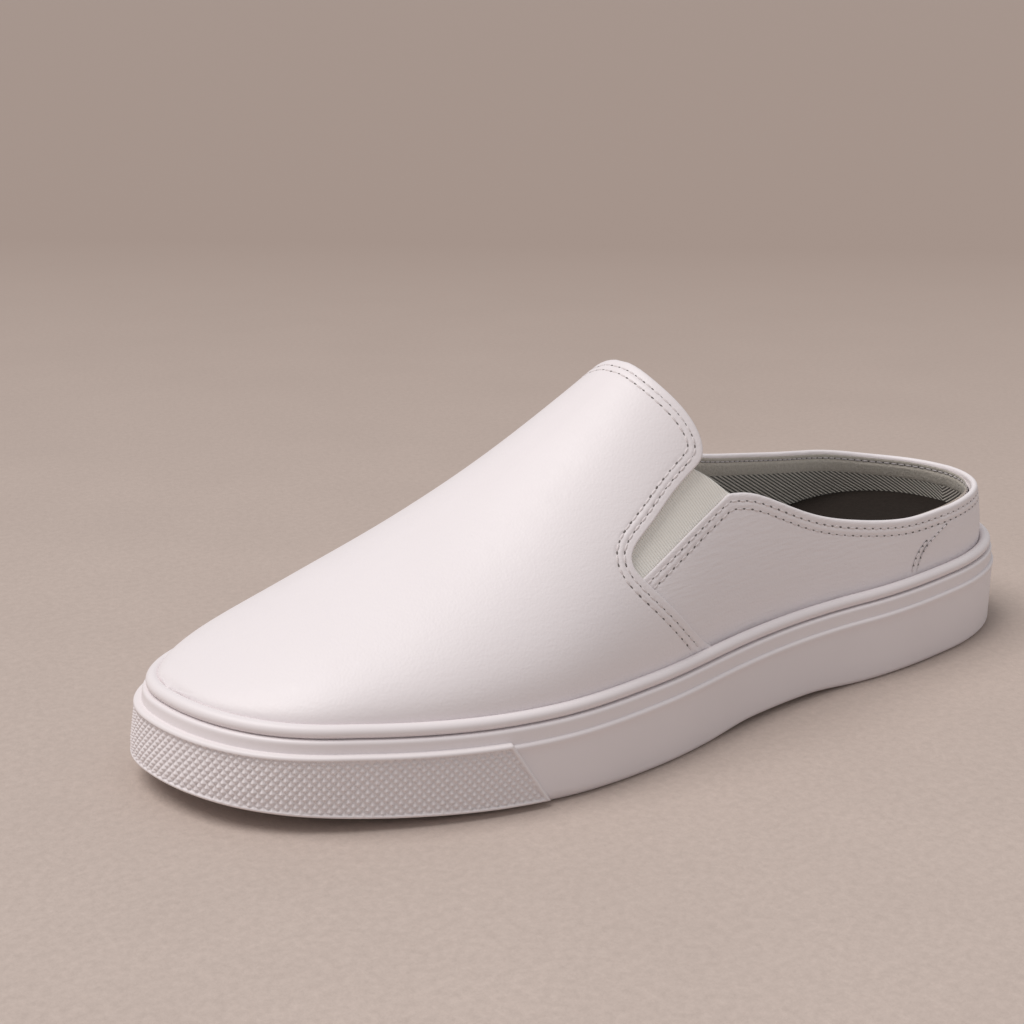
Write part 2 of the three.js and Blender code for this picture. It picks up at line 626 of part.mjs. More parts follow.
// Insole
function insole() {
  const inset = RIM_WIDTH + UPPER_WALL + 3 * CLEARANCE;
  return stack([
    [inset, upperFloor],
    [inset, (at) => footbed(at) - FOOTBED_ROUND],
    [inset + FOOTBED_ROUND, footbed],
  ]);
}

function piece(name, body, color, roughness) {
  const { vertProperties, triVerts } = body.getMesh();
  const geometry = new THREE.BufferGeometry();
  geometry.setAttribute('position', new THREE.BufferAttribute(vertProperties, 3));
  geometry.setIndex(new THREE.BufferAttribute(triVerts, 1));
  geometry.computeVertexNormals();
  const material = new THREE.MeshStandardMaterial({ color, roughness, metalness: 0 });
  const mesh = new THREE.Mesh(geometry, material);
  mesh.name = name;
  return mesh;
}

const mule = new THREE.Group();
mule.add(piece('outsole', outsole(), 0xeeebea, 0.55));
mule.add(piece('toe_bumper', toeBumper(), 0xeae7e6, 0.6));
mule.add(piece('welt', welt(), 0xf1eeed, 0.5));
mule.add(piece('upper', upper(), 0xefe9ea, 0.5));
mule.add(piece('gore_lateral', gore(1), 0xddd6c8, 0.85));
mule.add(piece('gore_medial', gore(-1), 0xddd6c8, 0.85));
mule.add(piece('insole', insole(), 0x231d19, 0.9));

export default mule;
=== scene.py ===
import math
import bpy
import bmesh
import numpy as np
from mathutils import Matrix, Vector


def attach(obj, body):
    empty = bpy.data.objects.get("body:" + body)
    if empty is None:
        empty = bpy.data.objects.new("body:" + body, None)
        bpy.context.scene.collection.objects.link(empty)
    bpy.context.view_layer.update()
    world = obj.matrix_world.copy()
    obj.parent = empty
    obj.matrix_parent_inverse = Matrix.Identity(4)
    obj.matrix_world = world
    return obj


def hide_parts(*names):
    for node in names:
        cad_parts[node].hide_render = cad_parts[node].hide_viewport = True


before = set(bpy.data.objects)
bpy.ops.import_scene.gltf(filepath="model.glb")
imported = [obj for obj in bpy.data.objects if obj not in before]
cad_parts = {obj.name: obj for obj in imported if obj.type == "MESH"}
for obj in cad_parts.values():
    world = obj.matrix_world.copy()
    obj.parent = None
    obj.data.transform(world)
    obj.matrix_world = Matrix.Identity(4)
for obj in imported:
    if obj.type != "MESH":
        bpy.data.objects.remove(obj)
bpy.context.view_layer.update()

# Sizes in millimetres, the same as those of the solids
MM = 0.001
LENGTH = 290.0  # sole, heel to toe
BALL_WIDTH = 104.0  # sole across the ball
HEEL_WIDTH = 77.0  # sole across the heel
HEEL_SOLE = 20.7  # floor to the ridge line of the wall at the heel
TOE_SOLE = 15.8  # sole to the ridge line at the toe
TOE_SPRING = 5.2  # how far the toe tip is off the floor
TOE_DROP = 1.5  # how much less the rim rises at the toe than the underside
TOE_LEAN = 2.0  # how far the wall leans back at the rim of the toe
LEAN_START = 10.0  # height from which it leans
ARCH_RISE = 1.2  # how far the waist is off the floor
BAND_HEIGHT = 4.5  # ridge line to the rim of the cup
RIM_WIDTH = 5.0  # rubber wall of the cup
HEEL_FLOOR = 19.0  # rubber under the heel
BALL_FLOOR = 12.5  # rubber under the ball
BEAD_HEIGHT = 3.0  # welt, from its seat to its crown
BUMPER_PROUD = 0.9  # toe bumper over the ridge line
BUMPER_RISE = 1.3  # ridge line to the top of the toe bumper
BUMPER_FOOT = 1.4  # toe bumper over the lower edge of the wall
UPPER_WALL = 2.4  # leather and lining
INSTEP_RISE = 74.0  # bead to the top edge of the vamp
HEEL_RISE = 17.2  # bead to the topline at the heel
QUARTER_RISE = 37.6  # bead to the front corner of the quarter
VAMP_STEP = 0.9  # how far the vamp stands over the quarter
GORE_SUNK = 0.7  # face of the elastic under the quarter's face
FOOTBED_HEEL = 33.0  # floor to the footbed at the heel
FOOTBED_BALL = 20.0  # floor to the footbed at the ball
CLEARANCE = 0.3  # between pieces that meet on a curve
WALL_IN = 0.3  # side wall behind the ridge line
SIDE_EDGE = 1.6  # rounding of the wall's lower edge at heel and sides
TOE_EDGE = 3.0  # and round the toe
LEDGE = 0.9  # band behind the ridge line
LIP = 0.8  # rounding of the rim
EDGE_DROP = 0.6  # feather line of the upper under the crown of the bead
HEEL_FAN = 10.0  # how softly heel sections turn into waist sections
FULL_HEIGHT = 40.0  # height of a section whose sides bulge in full
BULGE_SWELL = 1.4  # growth of the bulge for each millimetre of a layer
SLOT_DEPTH = 1.4  # tread
SLOT_WIDTH = 2.2
SLOT_PITCH = 8.5
TREAD_BORDER = 10.0  # plain rubber round the tread
PAD_LENGTH = 34.0  # plain pads under heel and ball
PAD_WIDTH = 26.0

# Shares of the length
FAN_AT = 0.15  # sections of the waist begin
LEAN_FROM = 0.9  # wall leans back
NEAR = 0.01  # length over which a slope is taken

# Outline of the sole: at, lateral, medial, spine, as shares of the local width
OUTLINE_ROWS = np.array([
    [0, 0.481, 0.506, 0.014], [0.1, 0.489, 0.497, 0.012], [0.2, 0.536, 0.483, 0.025],
    [0.3, 0.551, 0.452, 0.034], [0.4, 0.51, 0.412, 0.034], [0.5, 0.486, 0.403, 0.031],
    [0.6, 0.507, 0.435, 0.028], [0.7, 0.524, 0.473, 0.004], [0.8, 0.477, 0.465, -0.028],
    [0.9, 0.422, 0.446, -0.067], [1, 0.433, 0.484, -0.093],
])
HEEL_ROUND = (0.16, 2.27)
TOE_ROUND = (0.253, 2.74)
# Sections of the last: at, ridge, side handle, top handle, bulge
SECTION_ROWS = np.array([
    [0, 1.184, 0.42, 0.45, 0.019], [0.15, 1.212, 0.42, 0.45, 0.019], [0.3, 1.239, 0.42, 0.45, 0.019],
    [0.42, 1.165, 0.48, 0.48, 0.019], [0.5, 1, 0.5, 0.5, 0.019], [0.6, 0.754, 0.5, 0.5, 0.019],
    [0.7, 0.527, 0.5, 0.5, 0.019], [0.8, 0.341, 0.52, 0.52, 0.014], [0.9, 0.177, 0.54, 0.54, 0.005],
    [1, 0.068, 0.55, 0.55, 0],
])
TOE_DOME = (0.13, 2.34)
# Edge of the vamp in side view: at, rise as a share of INSTEP_RISE
VAMP_EDGE = np.array([
    [0.519, 0], [0.533, 0.043], [0.549, 0.103], [0.578, 0.22], [0.599, 0.305], [0.608, 0.35],
    [0.611, 0.384], [0.607, 0.414], [0.598, 0.443], [0.577, 0.492], [0.55, 0.559], [0.513, 0.635],
    [0.502, 0.664], [0.498, 0.712], [0.499, 0.759], [0.503, 0.811], [0.509, 0.861], [0.515, 0.909],
    [0.518, 0.945], [0.5185, 1.02],
])
GORE_HEAD = 11
# Topline of the quarters: at, lateral climb, medial climb
TOPLINE = np.array([
    [-0.05, 0, 0], [0.02, 0, 0], [0.08, 0.008, 0.045], [0.17, 0.01, 0.17], [0.22, 0.03, 0.27],
    [0.271, 0.123, 0.385], [0.319, 0.255, 0.505], [0.364, 0.453, 0.67], [0.409, 0.741, 0.85],
    [0.449, 0.955, 0.965], [0.476, 1, 1],
])
QUARTER_FOOT = (0.599, 0.318)
PATCH_LOW_AT = 0.222
PATCH_HIGH = (0.132, 0.3)
BUMPER_LOW_AT = 0.728
BUMPER_HIGH_AT = 0.773

HEEL_X = (WALL_IN - BUMPER_PROUD - LENGTH) / 2
VAMP_INSET = RIM_WIDTH + CLEARANCE - VAMP_STEP


def spline(rows, column):
    """Natural cubic spline through one column of a table."""
    xs = rows[:, 0]
    ys = rows[:, column]
    count = len(xs)
    step = np.diff(xs)
    matrix = np.eye(count)
    right = np.zeros(count)
    for k in range(1, count - 1):
        matrix[k, k - 1:k + 2] = step[k - 1], 2 * (step[k - 1] + step[k]), step[k]
        right[k] = 6 * ((ys[k + 1] - ys[k]) / step[k] - (ys[k] - ys[k - 1]) / step[k - 1])
    bend = np.linalg.solve(matrix, right)

    def value(at):
        x = np.clip(np.asarray(at, float), xs[0], xs[-1])
        k = np.clip(np.searchsorted(xs, x) - 1, 0, count - 2)
        before = xs[k + 1] - x
        after = x - xs[k]
        curve = (bend[k] * before ** 3 + bend[k + 1] * after ** 3) / (6 * step[k])
        low = ys[k] / step[k] - bend[k] * step[k] / 6
        high = ys[k + 1] / step[k] - bend[k + 1] * step[k] / 6
        return curve + low * before + high * after

    return value


def smoothstep(value, low, high):
    s = np.clip((np.asarray(value, float) - low) / (high - low), 0, 1)
    return s * s * (3 - 2 * s)


def mix(a, b, share):
    return a + (b - a) * share


lateral_share = spline(OUTLINE_ROWS, 1)
medial_share = spline(OUTLINE_ROWS, 2)
spine_share = spline(OUTLINE_ROWS, 3)
ridge_share = spline(SECTION_ROWS, 1)
side_handle = spline(SECTION_ROWS, 2)
top_handle = spline(SECTION_ROWS, 3)
bulge_share = spline(SECTION_ROWS, 4)
climbs = {1: spline(TOPLINE, 1), -1: spline(TOPLINE, 2)}


# Heights along the sole
def local_width(at):
    """The heel's width up to 0.3 of the length, the ball's from 0.6."""
    return mix(HEEL_WIDTH, BALL_WIDTH, smoothstep(at, 0.3, 0.6))


def toe_lift(at):
    """The toe leaves the floor from 0.7 of the length."""
    return TOE_SPRING * np.clip((np.asarray(at) - 0.7) / 0.3, 0, 1) ** 2


def underside(at):
    """Toe spring, and the waist off the floor between heel and ball."""
    return toe_lift(at) + ARCH_RISE * smoothstep(at, 0.3, 0.38) * (1 - smoothstep(at, 0.46, 0.54))


def rim_lift(at):
    return toe_lift(at) - TOE_DROP * smoothstep(at, 0.88, 1)


def ridge_line(at):
    return mix(HEEL_SOLE, TOE_SOLE, np.clip(at, 0, 1)) + rim_lift(at)


def rim_line(at):
    return ridge_line(at) + BAND_HEIGHT


def cup_floor(at):
    return mix(HEEL_FLOOR, BALL_FLOOR, smoothstep(at, 0.25, 0.65)) + rim_lift(at)


def footbed(at):
    return mix(FOOTBED_HEEL, FOOTBED_BALL, smoothstep(at, 0, 0.7)) + rim_lift(at)


def crown_line(at):
    return rim_line(at) + CLEARANCE + BEAD_HEIGHT


def feather_line(at):
    return crown_line(at) - EDGE_DROP


def toe_lean(at, z):
    """How far the wall round the toe leans back at a height."""
    rise = (z - LEAN_START) / (rim_line(at) - LEAN_START)
    return TOE_LEAN * smoothstep(at, LEAN_FROM, 1) * np.maximum(0, rise)


def side_x(at):
    return HEEL_X + LENGTH * np.asarray(at, float)


# Points of the outline on each side
FINE = 1601


def station(turn):
    """Share of the length at an angle, 0 at the heel and pi at the toe."""
    return (1 - np.cos(turn)) / 2


def outline_table():
    """The outline from the heel to the toe, with its normals and middle."""
    turn = np.linspace(0, math.pi, FINE)
    at = station(turn)
    heel = np.clip((HEEL_ROUND[0] - at) / HEEL_ROUND[0], 0, 1)
    toe = np.clip((at - 1 + TOE_ROUND[0]) / TOE_ROUND[0], 0, 1)
    ends = np.sqrt((1 - heel ** HEEL_ROUND[1]) * (1 - toe ** TOE_ROUND[1]))
    width = local_width(at)
    spine = spine_share(at) * width
    lateral = spine + (lateral_share(at) * width - spine) * ends
    medial = spine + (-medial_share(at) * width - spine) * ends
    proud = np.where(at > BUMPER_LOW_AT, BUMPER_PROUD - WALL_IN, 0)
    middle = ((lateral + proud).max() + (medial - proud).min()) / 2
    x = side_x(at)
    loop = np.concatenate([
        np.stack([x, lateral - middle], 1),
        np.stack([x, medial - middle], 1)[-2:0:-1],
    ])
    run = np.roll(loop, -1, 0) - np.roll(loop, 1, 0)
    normal = np.stack([-run[:, 1], run[:, 0]], 1)
    normal /= np.linalg.norm(normal, axis=1)[:, None]
    both = {}
    back = np.concatenate([[0], np.arange(len(loop) - 1, FINE - 2, -1)])
    both[1] = np.concatenate([loop, normal], 1)[:FINE]
    both[-1] = np.concatenate([loop, normal], 1)[back]
    return turn, both, middle


TURN, EDGE_TABLE, MIDDLE_Y = outline_table()


def spine_y(at):
    return spine_share(at) * local_width(at) - MIDDLE_Y


def rim_point(at, side, inset):
    """x and y of the outline, moved in by an inset."""
    turn = np.arccos(np.clip(1 - 2 * np.asarray(at, float), -1, 1))
    one, two = ([np.interp(turn, TURN, EDGE_TABLE[s][:, c]) for c in range(4)] for s in (1, -1))
    x, y, nx, ny = (np.where(side > 0, a, b) for a, b in zip(one, two))
    return x - inset * nx, y - inset * ny


TIP_SHARE = float(toe_lean(1.0, feather_line(1.0))) / TOE_LEAN


def section(at, side, depth):
    """The half section of the last at a station, so far under the vamp's face."""
    at, side, depth = np.broadcast_arrays(*(np.asarray(v, float) for v in (at, side, depth)))
    inset = VAMP_INSET + depth + toe_lean(at, feather_line(at))
    edge_x, edge_y = rim_point(at, side, inset)
    other_x, _ = rim_point(at, -side, inset)
    x = (edge_x + other_x) / 2
    fan_x = HEEL_X + FAN_AT * LENGTH
    past = x - fan_x
    centre_x = np.maximum(x, fan_x + (past + np.hypot(past, HEEL_FAN)) / 2)
    centre_at = np.clip((centre_x - HEEL_X) / LENGTH, 0, 1)
    slope = (ridge_share(centre_at + NEAR) - ridge_share(centre_at - NEAR)) / (2 * NEAR)
    steep = np.hypot(1, slope * INSTEP_RISE / LENGTH)
    tip = rim_point(1.0, 1, VAMP_INSET + depth + TOE_LEAN * TIP_SHARE)[0]
    toe = np.clip(1 - (tip - x) / (TOE_DOME[0] * LENGTH), 0, 1)
    dome = np.sqrt(1 - toe ** TOE_DOME[1])
    height = (ridge_share(centre_at) * INSTEP_RISE - depth * steep) * dome
    centre_y = spine_y(centre_at)
    reach = np.hypot(edge_x - centre_x, edge_y - centre_y) + 1e-9
    return {
        "cx": centre_x, "cy": centre_y, "dx": (edge_x - centre_x) / reach,
        "dy": (edge_y - centre_y) / reach, "reach": reach, "height": height,
        "bulge": (bulge_share(at) * BALL_WIDTH - BULGE_SWELL * depth) * np.minimum(1, height / FULL_HEIGHT),
        "side": side_handle(at), "top": top_handle(at), "foot": feather_line(at),
    }


def climb_of(t, handle):
    """Share of its height that a half section has reached."""
    return 3 * t * (1 - t) ** 2 * handle + 3 * t * t * (1 - t) + t ** 3


def on_section(sec, t):
    """Points of half sections, from the feather line at 0 to the ridge at 1."""
    out = ((1 - t) ** 3 * sec["reach"] + 3 * t * (1 - t) ** 2 * (sec["reach"] + sec["bulge"])
           + 3 * t * t * (1 - t) * sec["top"] * sec["reach"])
    up = climb_of(t, sec["side"]) * sec["height"]
    return np.stack([sec["cx"] + sec["dx"] * out, sec["cy"] + sec["dy"] * out, sec["foot"] + up], -1)


def shell(at, side, t, depth):
    """Points of the skin so far under the vamp's face."""
    return on_section(section(at, side, depth), t)


HALVINGS = 40
PASSES = 8


def solve_t(sec, z):
    """Where on its section the surface reaches a height."""
    wanted = (z - sec["foot"]) / np.maximum(sec["height"], 1e-6)
    low = np.zeros_like(wanted)
    high = np.ones_like(wanted)
    for _ in range(HALVINGS):
        middle = (low + high) / 2
        under = climb_of(middle, sec["side"]) < wanted
        low = np.where(under, middle, low)
        high = np.where(under, high, middle)
    return (low + high) / 2


def locate(x, z, side, depth):
    """Station and share of the section where the surface meets a point of the side view."""
    at = (x - HEEL_X) / LENGTH
    for _ in range(PASSES):
        sec = section(at, side, depth)
        t = solve_t(sec, z)
        at = at + (x - on_section(sec, t)[..., 0]) / LENGTH
    return at, t


def even(points, spacing):
    """The same line with points at even steps along it."""
    run = np.concatenate([[0], np.cumsum(np.linalg.norm(np.diff(points, axis=0), axis=1))])
    count = max(2, int(round(run[-1] / spacing)) + 1)
    return np.stack([np.interp(np.linspace(0, run[-1], count), run, points[:, k])
                     for k in range(points.shape[1])], 1)


CURVE_POINTS = 600


def curve_through(points, spacing):
    """A smooth curve through a few points, at even steps."""
    run = np.concatenate([[0], np.cumsum(np.linalg.norm(np.diff(points, axis=0), axis=1))])
    rows = np.concatenate([run[:, None], points], 1)
    fine = np.linspace(0, run[-1], CURVE_POINTS)
    columns = [spline(rows, k + 1)(fine) for k in range(points.shape[1])]
    return even(np.stack(columns, 1), spacing)


def side_points(rows):
    """x and z in side view of rows that hold a share of the length and of the instep rise."""
    return np.stack([side_x(rows[:, 0]), feather_line(rows[:, 0]) + rows[:, 1] * INSTEP_RISE], 1)


def unit(vectors):
    return vectors / (np.linalg.norm(vectors, axis=-1)[..., None] + 1e-12)


def softened(values, sigma):
    """A row of values with its small steps smoothed away, ends kept."""
    reach = int(4 * sigma)
    kernel = np.exp(-0.5 * (np.arange(-reach, reach + 1) / sigma) ** 2)
    kernel /= kernel.sum()
    before = 2 * values[0] - values[reach:0:-1]
    after = 2 * values[-1] - values[-2:-reach - 2:-1]
    return np.convolve(np.concatenate([before, values, after]), kernel, "valid")


INSIDE_HEIGHT = 20.0


def normals_of(grid):
    """Unit normals of a grid of points, facing away from the inside of the shoe."""
    one = np.gradient(grid, axis=0)
    two = np.gradient(grid, axis=1)
    n = np.cross(one, two)
    n /= np.linalg.norm(n, axis=-1)[..., None] + 1e-12
    middle = grid.copy()
    middle[..., 1] = -MIDDLE_Y
    middle[..., 2] = INSIDE_HEIGHT
    if (n * (grid - middle)).sum() < 0:
        n = -n
    return n


LINE_STEP = 0.25
BATCH = 400


def nearest(grid, line):
    """Distance of grid points from a line, and how far along it the nearest place is."""
    flat = grid.reshape(-1, 3)
    best = np.empty(len(flat))
    run = np.empty(len(flat))
    for k in range(0, len(flat), BATCH):
        gap = ((flat[k:k + BATCH, None, :] - line[None, :, :]) ** 2).sum(-1)
        run[k:k + BATCH] = gap.argmin(1) * LINE_STEP
        best[k:k + BATCH] = np.sqrt(gap.min(1))
    return best.reshape(grid.shape[:-1]), run.reshape(grid.shape[:-1])


# Meshes
WELD_GAP = 2e-6


def welded(mesh):
    """Joins points that meet and turns the faces outwards."""
    work = bmesh.new()
    work.from_mesh(mesh)
    bmesh.ops.remove_doubles(work, verts=work.verts, dist=WELD_GAP)
    bmesh.ops.recalc_face_normals(work, faces=work.faces)
    work.to_mesh(mesh)
    work.free()


def placed(name, data):
    """A new object in the scene."""
    made = bpy.data.objects.new(name, data)
    bpy.context.scene.collection.objects.link(made)
    return made


def finish_mesh(name, points, faces, material, nodes, uvs=None, weld=True):
    """A smooth piece of the shoe from points in millimetres."""
    mesh = bpy.data.meshes.new(name)
    mesh.from_pydata((np.asarray(points) * MM).tolist(), [], faces)
    if uvs is not None:
        layer = mesh.uv_layers.new(name="flat")
        corners = np.empty(len(mesh.loops), dtype=np.int32)
        mesh.loops.foreach_get("vertex_index", corners)
        layer.data.foreach_set("uv", np.asarray(uvs, float)[corners].ravel())
    if weld:
        welded(mesh)
    mesh.polygons.foreach_set("use_smooth", [True] * len(mesh.polygons))
    mesh.materials.append(material)
    piece = placed(name, mesh)
    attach(piece, "root")
    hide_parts(*nodes)
    return piece


def grid_faces(rows, columns, round_rows=False, round_columns=False):
    faces = []
    for i in range(rows if round_rows else rows - 1):
        for j in range(columns if round_columns else columns - 1):
            k = (j + 1) % columns
            n = (i + 1) % rows
            faces.append((i * columns + j, n * columns + j, n * columns + k, i * columns + k))
    return faces


def grid_piece(name, grid, material, slot, nodes, uvs=None, round_rows=False, round_columns=False):
    rows, columns = grid.shape[:2]
    faces = grid_faces(rows, columns, round_rows, round_columns)
    flat = None if uvs is None else uvs.reshape(-1, 2)
    return finish_mesh(name, grid.reshape(-1, 3), faces, material, nodes, flat)


# Materials
def fill(made, inputs):
    """Sets inputs of a shader node, each to a value or to the output of another node."""
    for key, value in inputs.items():
        if isinstance(value, bpy.types.NodeSocket):
            made.id_data.links.new(value, made.inputs[key])
        else:
            made.inputs[key].default_value = value


def node(tree, kind, inputs, **settings):
    made = tree.nodes.new(kind)
    for key, value in settings.items():
        setattr(made, key, value)
    fill(made, inputs)
    return made


def new_material(name):
    material = bpy.data.materials.new(name)
    material.use_nodes = True
    tree = material.node_tree
    tree.nodes.clear()
    output = tree.nodes.new("ShaderNodeOutputMaterial")
    shader = tree.nodes.new("ShaderNodeBsdfPrincipled")
    tree.links.new(shader.outputs[0], output.inputs["Surface"])
    return material, tree, shader


def object_place(tree):
    return tree.nodes.new("ShaderNodeTexCoord").outputs["Object"]


def stretched(tree, place, scale):
    return node(tree, "ShaderNodeMapping", {"Vector": place, "Scale": scale}).outputs[0]


def noise(tree, place, scale, detail=3.0, rough=0.5):
    inputs = {"Vector": place, "Scale": scale, "Detail": detail, "Roughness": rough}
    return node(tree, "ShaderNodeTexNoise", inputs).outputs["Fac"]


def bump(tree, height, distance, strength, under=None):
    inputs = {"Height": height, "Distance": distance, "Strength": strength}
    if under is not None:
        inputs["Normal"] = under
    return node(tree, "ShaderNodeBump", inputs).outputs["Normal"]


def between(tree, factor, low, high):
    inputs = {"Value": factor, "To Min": low, "To Max": high}
    return node(tree, "ShaderNodeMapRange", inputs).outputs["Result"]


def maths(tree, operation, one, two=0.5, **settings):
    return node(tree, "ShaderNodeMath", {0: one, 1: two}, operation=operation, **settings).outputs[0]


def blend_colours(tree, factor, one, two):
    """From one colour to another; each is three numbers or the output of a node."""
    one, two = (v if isinstance(v, bpy.types.NodeSocket) else (*v, 1.0) for v in (one, two))
    return node(tree, "ShaderNodeMix", {"Factor": factor, 6: one, 7: two}, data_type="RGBA").outputs[2]


def leather(name, light, dark, creases):
    """Smooth leather with fine pores, and long faint creases where they are asked for."""
    material, tree, shader = new_material(name)
    place = object_place(tree)
    fill(shader, {
        "Base Color": blend_colours(tree, noise(tree, place, 35.0, 4.0), dark, light),
        "Roughness": between(tree, noise(tree, place, 260.0), 0.4, 0.56),
        "Coat Weight": 0.08, "Coat Roughness": 0.35,
    })
    pores = node(tree, "ShaderNodeTexVoronoi", {"Vector": place, "Scale": 1500.0}, feature="SMOOTH_F1")
    normal = bump(tree, pores.outputs["Distance"], 0.0001, 0.4)
    normal = bump(tree, noise(tree, place, 420.0, 5.0, 0.6), 0.0002, 0.2, normal)
    if creases:
        long = noise(tree, stretched(tree, place, (150.0, 150.0, 900.0)), 1.0, 4.0, 0.55)
        normal = bump(tree, long, 0.0004, creases, normal)
    fill(shader, {"Normal": normal})
    return material


def rubber(name, light, dark, rough):
    """Moulded rubber, slightly uneven."""
    material, tree, shader = new_material(name)
    place = object_place(tree)
    normal = bump(tree, noise(tree, place, 1800.0, 3.0), 0.00005, 0.25)
    fill(shader, {
        "Base Color": blend_colours(tree, noise(tree, place, 60.0, 4.0), dark, light),
        "Roughness": between(tree, noise(tree, place, 500.0), rough - 0.06, rough + 0.06),
        "Normal": bump(tree, noise(tree, place, 45.0, 2.0), 0.0006, 0.08, normal),
    })
    return material


def cloth(name, light, dark, scale, depth, rough=0.85, sheen=0.0):
    """Felt, thread or fabric without a clear weave."""
    material, tree, shader = new_material(name)
    place = object_place(tree)
    grain = noise(tree, place, scale, 5.0, 0.65)
    fill(shader, {
        "Base Color": blend_colours(tree, grain, dark, light), "Roughness": rough,
        "Sheen Weight": sheen, "Specular IOR Level": 0.15, "Normal": bump(tree, grain, depth, 0.6),
    })
    return material


def ribbed(name, light, dark, along, pitch, depth, thin):
    """Cloth with fine ribs over a flat map in millimetres."""
    material, tree, shader = new_material(name)
    flat = node(tree, "ShaderNodeUVMap", {}, uv_map="flat").outputs[0]
    parts = node(tree, "ShaderNodeSeparateXYZ", {"Vector": flat})
    one = maths(tree, "MULTIPLY", parts.outputs[0], along[0])
    two = maths(tree, "MULTIPLY", parts.outputs[1], along[1])
    both = maths(tree, "ADD", one, two)
    wave = maths(tree, "SINE", maths(tree, "MULTIPLY", both, 2 * math.pi / pitch))
    upright = node(tree, "ShaderNodeMapRange", {"Value": wave, "From Min": -1.0, "From Max": 1.0})
    share = maths(tree, "POWER", upright.outputs["Result"], thin)
    grain = noise(tree, object_place(tree), 1400.0, 4.0)
    speckled = between(tree, grain, 0.75, 1.1)
    shade = maths(tree, "MULTIPLY", share, speckled, use_clamp=True)
    normal = bump(tree, share, depth, 0.8)
    fill(shader, {
        "Base Color": blend_colours(tree, shade, dark, light), "Roughness": 0.85,
        "Sheen Weight": 0.2, "Normal": bump(tree, grain, 0.0001, 0.4, normal),
    })
    return material


WHITE = (0.86, 0.8, 0.81)
WHITE_DARK = (0.83, 0.77, 0.78)
VAMP_LEATHER = leather("vamp_leather", WHITE, WHITE_DARK, 0.12)
QUARTER_LEATHER = leather("quarter_leather", WHITE, WHITE_DARK, 0.5)
SOLE_RUBBER = rubber("sole_rubber", (0.85, 0.79, 0.8), (0.82, 0.76, 0.77), 0.45)
BUMPER_RUBBER = rubber("bumper_rubber", (0.84, 0.78, 0.785), (0.8, 0.74, 0.745), 0.5)
FELT = cloth("collar_felt", (0.9, 0.82, 0.72), (0.66, 0.6, 0.52), 900.0, 0.0005, 0.9, 0.2)
TWILL = ribbed("twill_lining", (0.88, 0.81, 0.72), (0.09, 0.082, 0.072), (-0.5, 0.87), 0.95, 0.0003, 0.8)
# The elastic's darker lines fall in the grooves between its ribs: painted shade
ELASTIC = ribbed("gore_elastic", (0.98, 0.955, 0.9), (0.84, 0.8, 0.72), (0.85, -0.53), 0.8, 0.00012, 0.35)
FOOTBED_CLOTH = cloth("footbed_cloth", (0.03, 0.022, 0.018), (0.012, 0.009, 0.007), 700.0, 0.0003, 0.9)
THREAD = cloth("thread", (0.8, 0.74, 0.74), (0.68, 0.62, 0.62), 2500.0, 0.0001, 0.6)
VAMP_TEXTILE = cloth("vamp_textile", (0.5, 0.48, 0.45), (0.38, 0.36, 0.34), 1200.0, 0.0002)
# Dark colour of the marks at the needle holes: painted shade in the holes
HOLE_SHADE_PAINT = cloth("needle_hole_painted_shade", (0.24, 0.21, 0.2), (0.13, 0.115, 0.11), 2500.0, 0.0001, 0.8)

UPPER = ("upper_leather", ["upper"])  # a slot name and the node whose parts its pieces hide

# Stitch rows and edges, in millimetres
VAMP_STITCHES = (1.85, 3.95)  # rows, from the edge
QUARTER_STITCHES = (1.35, 3.5)
STITCH_PITCH = 3.3
PATCH_PITCH = 2.2
BAND_PITCH = 2.4
FOLD = 0.45  # half the thickness of a turned edge
FREE_FOLD = 0.85  # where the vamp's edge lies on nothing
FREE_SHIFT = 0.3  # that edge moved in
RIM_FOLD = 1.0  # topline of the quarters
STITCH_SIZE = (2.2, 0.7, 0.5)
HOLE_SHADE_SIZE = (1.3, 0.7, 0.4)
ROW_PLUMP = 0.1  # leather between two rows
ROW_PULL = 0.15  # trough along a row
HOLE_PULL = 0.08  # deeper at each hole


def stitched(distance, run, rows):
    """Height of the leather beside an edge that is sewn down in rows, pulled in at every hole."""
    height = ROW_PLUMP * np.exp(-((distance - sum(rows) / 2) / 0.7) ** 2)
    for row in rows:
        pull = ROW_PULL + HOLE_PULL * np.cos(2 * math.pi * run / STITCH_PITCH)
        height = height - pull * np.exp(-((distance - row) / 0.4) ** 2)
    return height


def lobes(name, places, runs, ups, size, material, slot, nodes):
    """Many small rounded grains in one mesh; size is length, width, height."""
    rings = 4
    around = 8
    base = []
    for i in range(rings + 1):
        polar = math.pi * i / rings
        thick = math.sin(polar)
        for j in range(around):
            turn = 2 * math.pi * j / around
            base.append([math.cos(polar) / 2, thick * math.cos(turn) / 2, thick * math.sin(turn) / 2])
    base = np.array(base) * np.array(size)
    sides = np.cross(ups, runs)
    axes = np.stack([runs, sides, ups], 1)
    points = places[:, None, :] + np.einsum("vk,nkc->nvc", base, axes)
    one = np.array(grid_faces(rings + 1, around, round_columns=True))
    faces = (one[None] + (np.arange(len(places)) * len(base))[:, None, None]).reshape(-1, 4)
    return finish_mesh(name, points.reshape(-1, 3), faces.tolist(), material, nodes, weld=False)


STEPS_PER_STITCH = 8
THREAD_UP = 0.02
HOLE_DOWN = 0.08
THREADS = []
HOLE_SHADE_MARKS = []


